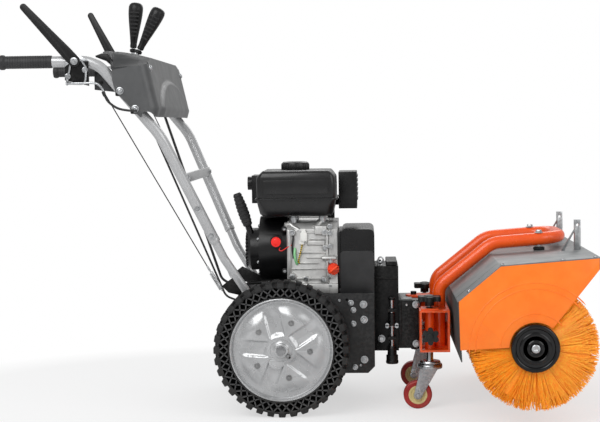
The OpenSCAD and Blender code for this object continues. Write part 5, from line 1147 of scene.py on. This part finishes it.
def buildStarter():
    bm = bmesh.new()
    foot, axis = at(*pullSet["foot"]), Vector(pullSet["lean"]).normalized()
    across, out = axis.cross(Vector((0, 1, 0))), Vector((0, 1, 0))
    rings = []
    for i in range(91):
        t = i / 90
        end = min(1.0, t * 14, (1 - t) * 14) ** 0.5
        wave = math.cos(2 * math.pi * t * pullSet["grooves"])
        groove = 1.2 * smooth(0.55, 0.8, wave) * (0 if t > 0.93 else 1)
        wide = lerpTable([(0, 12.5), (0.3, 15.4), (0.6, 15.2), (1, 11.5)], t) * (0.72 + 0.28 * end) - groove
        deep = lerpTable([(0, 10.5), (0.3, 12.5), (0.6, 12.5), (1, 10)], t) * (0.72 + 0.28 * end) - groove
        c = foot + axis * ((pullSet["from"] + pullSet["long"] * t) / 1000)
        rings.append([c + across * (wide / 1000 * math.cos(a)) + out * (deep / 1000 * math.sin(a))
                      for a in (2 * math.pi * k / 28 for k in range(28))])
    skinRings(bm, rings)
    tube(bm, [foot + axis * (h / 1000) for h in (13, 20, 30)], 3, 12)
    return bm


standFor(buildStarter(), "starter_handle", [gripRubber])


def buildRope():  # pays out between the cover's guide and the handle
    bm = bmesh.new()
    foot, axis = at(*pullSet["foot"]), Vector(pullSet["lean"]).normalized()
    tube(bm, [foot + axis * (h / 1000) for h in range(8, 31)], 2.4, 12)
    rope = makePiece(bm, "starterRope", None, [cableBlack])
    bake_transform(rope)


buildRope()

tankSet = {"x": (-71, 143), "y": (-120, 68)}


def tankRing(grow, z, corner, shade=None):
    (x0, x1), (y0, y1) = tankSet["x"], tankSet["y"]
    pts = []
    for cx, cy, start in ((x1, y1, 0), (x0, y1, 90), (x0, y0, 180), (x1, y0, 270)):
        for k in range(9):
            a = math.radians(start + k * 90 / 8)
            sx = 1 if cx == x1 else -1
            sy = 1 if cy == y1 else -1
            pts.append((cx + sx * (grow - corner) + corner * math.cos(a),
                        cy + sy * (grow - corner) + corner * math.sin(a)))
    return [(x, y, shade(x, y) if shade else z) for x, y in pts]


def tankTop(x, y):  # two ridges across the top, either side of the filler
    ridge = 11 * (smooth(-68, -50, x) - smooth(-12, 6, x) + smooth(62, 82, x) - smooth(126, 141, x))
    return 627 + ridge * 0.9


def buildTank():
    bm = bmesh.new()
    rings = [tankRing(-24, 512.5, 20), tankRing(-14, 514, 24), tankRing(-8, 520, 26), tankRing(-3, 540, 26),
             tankRing(-1, 553, 18), tankRing(-0.5, 557, 18), tankRing(4, 557.6, 20), tankRing(4.6, 560, 20),
             tankRing(4, 562.6, 20), tankRing(-0.5, 563.4, 17), tankRing(0, 568, 16), tankRing(0, 600, 16),
             tankRing(-0.6, 616, 16)]
    for grow, lift in ((-2, -7), (-5, -3.5), (-9, -1.2), (-15, 0), (-28, 0.6), (-50, 1)):
        raised = lambda x, y, lift=lift: tankTop(x, y) + lift
        rings.append(tankRing(grow, 0, max(6, 16 + grow * 0.2), raised))
    skinRings(bm, [[at(*p) for p in ring] for ring in rings])
    lathe(bm, [(31, 626), (31, 633), (28.6, 634.6), (20, 634.8)], at(31, -26, 0), (0, 0, 1), 48, 0)
    for x in (-60, 132):
        for y in (-108, 56):
            lathe(bm, [(6, 552), (6, 568), (4.4, 569)], at(x * 1.0, y, 0), (0, 0, 1), 18, 0)
    panel = roundedOutline([(-52, 574), (124, 574), (124, 612), (-52, 612)], 8)
    prism(bm, panel, "y", -121.2, -118, 0.7, 0)
    return bm


standFor(buildTank(), "fuel_tank", [tankBlack], angle=50)


def buildFuelCap():
    bm = bmesh.new()
    place = at(31, -26, 0)
    lathe(bm, [(24, 635), (36, 635.2), (37.2, 637), (37.4, 652), (36, 656), (32, 658.6), (24, 659.4),
               (18, 658.2), (6, 658)], place, (0, 0, 1), 72)
    for d in range(32):
        a = 2 * math.pi * d / 32
        er = Vector((math.cos(a), math.sin(a), 0))
        tube(bm, [place + er * 0.0372 + Vector((0, 0, z / 1000)) for z in (637.5, 640, 650, 654)],
             [0.6, 1.5, 1.5, 0.6], 8)
    return bm


standFor(buildFuelCap(), "fuel_cap", [tankBlack])

muffler = softCopy("muffler", 4.0, 32, 3)
for i in range(6):  # louvres on the outlet side of the guard
    z = 549 + i * 12.6
    block(muffler, (190, 24, z), (201.5, 146, z + 6), 1.8)
prism(muffler, roundedOutline([(158, 538), (190, 538), (190, 616), (158, 616)], 8), "y", 149.4, 152, 0.6, 0)
for x, z in ((164, 544), (185, 544), (164, 610), (185, 610)):
    screw(muffler, at(x, 151.6, z), (0, 1, 0), 4, 2.6, 1)
standFor(muffler, "muffler", [engineBlack, zincPlate], "mufflerGuard")
cleaner = softCopy("air_cleaner", 4.0, 32, 3)
standFor(cleaner, "air_cleaner", [engineBlack])


def buildBeltCover():
    bm = bmesh.new()
    upper = roundedOutline([(155.4, 360), (245, 360), (245, 478), (155.4, 478)], [1, 1, 16, 14], 6)
    prism(bm, upper, "y", -119, 119, 5.0, 0, 3)
    lower = roundedOutline([(153.6, 306.4), (243.5, 306.4), (243.5, 412), (238, 420), (160, 420),
                            (153.6, 414)], 2, 3)
    prism(bm, lower, "y", -121, 121, 2.0, 1)
    block(bm, (150.4, -112, 306.5), (156, 112, 318), 1, 1)
    block(bm, (147, -108, 318), (157, 108, 470), 1, 0)
    return bm


standFor(buildBeltCover(), "belt_cover", [coverBlack, coverPanel])

oilCap = softCopy("oil_cap", 1.2)
capMid = at(134, -117, 371)
slant = Matrix.Translation(capMid) @ Matrix.Rotation(math.radians(-40), 4,
        "Y") @ Matrix.Translation(-capMid)
block(oilCap, (120, -124, 368), (148, -114, 374), 1.6, 0, move=slant)
for d in range(14):
    a = 2 * math.pi * d / 14
    tube(oilCap, [at(134 + 15 * math.cos(a), -103, 371 + 15 * math.sin(a)),
                  at(134 + 15 * math.cos(a), -116, 371 + 15 * math.sin(a))], 1.3, 8)
standFor(oilCap, "oil_cap", [fillerOrange])
button = softCopy("stop_button", 0)
lathe(button, [(13.2, -9), (13.4, -5), (12.4, -1.4), (9, 0.8), (3, 1.4)], at(-20, -110.4, 445), (0, -1, 0),
      40)
standFor(button, "stop_button", [buttonRed])

wires = bmesh.new()
tube(wires, smoothPath([at(-9, -97, 429), at(-12, -103, 424), at(-5, -107, 421), at(10, -108, 430),
                        at(24, -104, 437)], 8), 1.4, 10, 0)
tube(wires, smoothPath([at(52, -108, 446), at(48, -110, 425), at(43, -110, 405), at(40, -107, 391),
                        at(44, -104, 386)], 8), 1.9, 10, 1)
tube(wires, smoothPath([at(31, -103, 428), at(30, -109, 412), at(32, -109, 396), at(36, -103, 384)], 8),
     3.4, 12, 2)
block(wires, (46, -116, 446), (64, -103, 470), 2, 3)
block(wires, (49, -114, 468), (61, -104, 480), 1.5, 3)
block(wires, (43, -112, 438), (56, -104, 450), 1.5, 3)
tube(wires, smoothPath([at(27, -103, 470), at(26, -108, 450), at(24, -106, 430), at(26, -103, 400)], 8),
     2.2, 10, 4)
makePiece(wires, "engineWiring", "chassis", [wireRed, wireYellow, sleeveGreen, plugWhite, cableBlack])
print("engine built")


# head: swivel bracket, looped arm, hood, flap, posts
bracket = softCopy("swivel_bracket", 1.0)
for side in (-1, 1):
    block(bracket, (366, side * 150 - 30, 265.6), (412, side * 150 + 30, 269.6), 1.4, 0)
standFor(bracket, "swivel_bracket", [bracketOrange, zincPlate])

loop = bmesh.new()
corners = [(417, -100, 161), (417, -100, 322), (560, -100, 437), (744, -100, 451)]
corners += [(x, -y, z) for x, y, z in corners[::-1]]
tube(loop, bendPath([at(*c) for c in corners], (44, 70, 62, 62, 70, 44), 14), 17, 36)
for side in (-1, 1):
    for x in (684,):
        z = lerpTable([(560, 437), (744, 451)], x)
        lathe(loop, [(7, -60), (7, 0)], at(x, side * 100, z - 14), (0, 0, 1), 20, 1)
        lathe(loop, [(13, -6), (15, -3), (15, 2), (12, 4)],
              at(x, side * 100, lerpTable([(554, 404), (798, 422)], x) + 8), (0, 0, 1), 28, 2)
        bolt(loop, at(x, side * 100, z + 16), (0, 0, 1), 8, 8, 1)
standFor(loop, "loop_tube", [armOrange, zincPlate, knobBlack])

hoodSet = {"line": [(447, 315), (554, 404), (798, 422)], "beads": (330,)}
hood = softCopy("hood_top", 0.8)
for side in (-1, 1):
    # near-black raised beads along the crease lines of the grey top: painted shade in the creases
    for y in hoodSet["beads"]:
        tube(hood, bendPath([at(x, side * y, z + 0.4) for x, z in ((449, 317), (554, 404), (794, 421.8))],
                            (20,), 6), 2.2, 10, 2)
    for x in (476, 558, 706, 786):
        z = lerpTable(hoodSet["line"], x)
        screw(hood, at(x, side * 390, z + 3), (-0.6, 0, 0.8) if x < 500 else (0, 0, 1), 5, 4, 1)
standFor(hood, "hood_top", [hoodGrey, zincPlate, frameBlack])

panels = softCopy("hood_sides", 0.8)
lo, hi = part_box("hood_sides")
panelY = hi.y * 1000
for side in (-1, 1):
    for r, start, end in ((163, 41, 186), (148, 41, 184), (86, 40, 178)):
        arc = [at(638 + r * math.cos(math.radians(start + (end - start) * i / 40)), side * (panelY - 0.6),
                  200 + r * math.sin(math.radians(start + (end - start) * i / 40))) for i in range(41)]
        tube(panels, arc, [0.4] + [1.7] * 39 + [0.4], 10, 0)
standFor(panels, "hood_sides", [hoodOrange, zincPlate])

standFor(softCopy("rear_flap", 0.8), "rear_flap", [flapRubber])
standFor(softCopy("brush_gearcase", 2.0), "brush_gearcase", [gearcaseBlack])
standFor(softCopy("collector_posts", 0.8), "collector_posts", [postGalv])
print("head built")


# casters and knobs
def buildCasterWheel(side):
    bm = bmesh.new()
    place = at(356, side * 150, 38)
    lathe(bm, [(25, -11.6), (34, -12.4), (37, -10.5), (38, -6), (38, 6), (37, 10.5), (34, 12.4),
               (25, 11.6)], place, (0, 1, 0), 64, 0, loop=True)
    lathe(bm, [(7, -12), (14, -12.2), (15, -10), (18, -9.6), (19, -11.4), (24, -12), (25.4, -11),
               (25.4, 11), (24, 12), (19, 11.4), (18, 9.6), (15, 10), (14, 12.2), (7, 12)], place,
               (0, 1, 0), 64, 1, loop=True)
    lathe(bm, [(4.4, -13), (7.2, -13), (7.2, 13), (4.4, 13)], place, (0, 1, 0), 28, 2, loop=True)
    return bm


for side, half in ((-1, "right"), (1, "left")):
    stem, fork = softCopy("caster_stem_" + half, 0.7), softCopy("caster_fork_" + half, 0.8)
    place = at(389, side * 150, 0)
    lathe(stem, [(26, 121), (28, 122), (28.4, 125), (26.6, 128.4), (16, 129.4)], place, (0, 0, 1), 44)
    for z in (150, 176, 205):
        lathe(stem, [(8.8, z), (9.3, z + 0.8), (9.3, z + 2), (8.8, z + 2.8)], place, (0, 0, 1), 32)
    standFor(stem, "caster_stem_" + half, [casterZinc])
    lathe(fork, [(32.2, 109), (33, 112), (33, 117), (31, 119.8)], place, (0, 0, 1), 48)
    for end in (-1, 1):
        bolt(fork, at(356, side * 150 + end * 17.4, 38), (0, end, 0), 7, 6)
    standFor(fork, "caster_fork_" + half, [casterZinc])
    standFor(buildCasterWheel(side), "caster_wheel_" + half, [casterTread, casterCream, casterZinc])
    knob = softCopy("height_knob_" + half, 2.6, 32, 3)
    lathe(knob, [(14, 300.6), (13, 303), (8, 304.6), (2, 305)], place, (0, 0, 1), 32, 0)
    lathe(knob, [(5.06, 246), (5.06, 274.6)], place, (0, 0, 1), 64, 1)
    standFor(knob, "height_knob_" + half, [knobBlack, zincPlate])
    clamp = softCopy("clamp_knob_" + half, 2.2, 32, 3)
    lathe(clamp, [(9, 0), (8.6, 2), (6, 3), (2, 3.2)], at(389, side * 202.6, 200), (0, side, 0), 28, 0)
    standFor(clamp, "clamp_knob_" + half, [knobBlack])
print("casters built")

# pieces inside keep their CAD form
insideFinish = {"drive_belts": beltRubber, "crankshaft": shaftSteel, "brush_shaft": shaftSteel,
                "traction_disc": bearingSteel, "hex_shaft": shaftSteel, "axle": shaftSteel,
                "head_shaft": shaftSteel}
for node, finish in insideFinish.items():
    standFor(softCopy(node, 0.3), node, [finish], name="inner" + camel("_" + node))
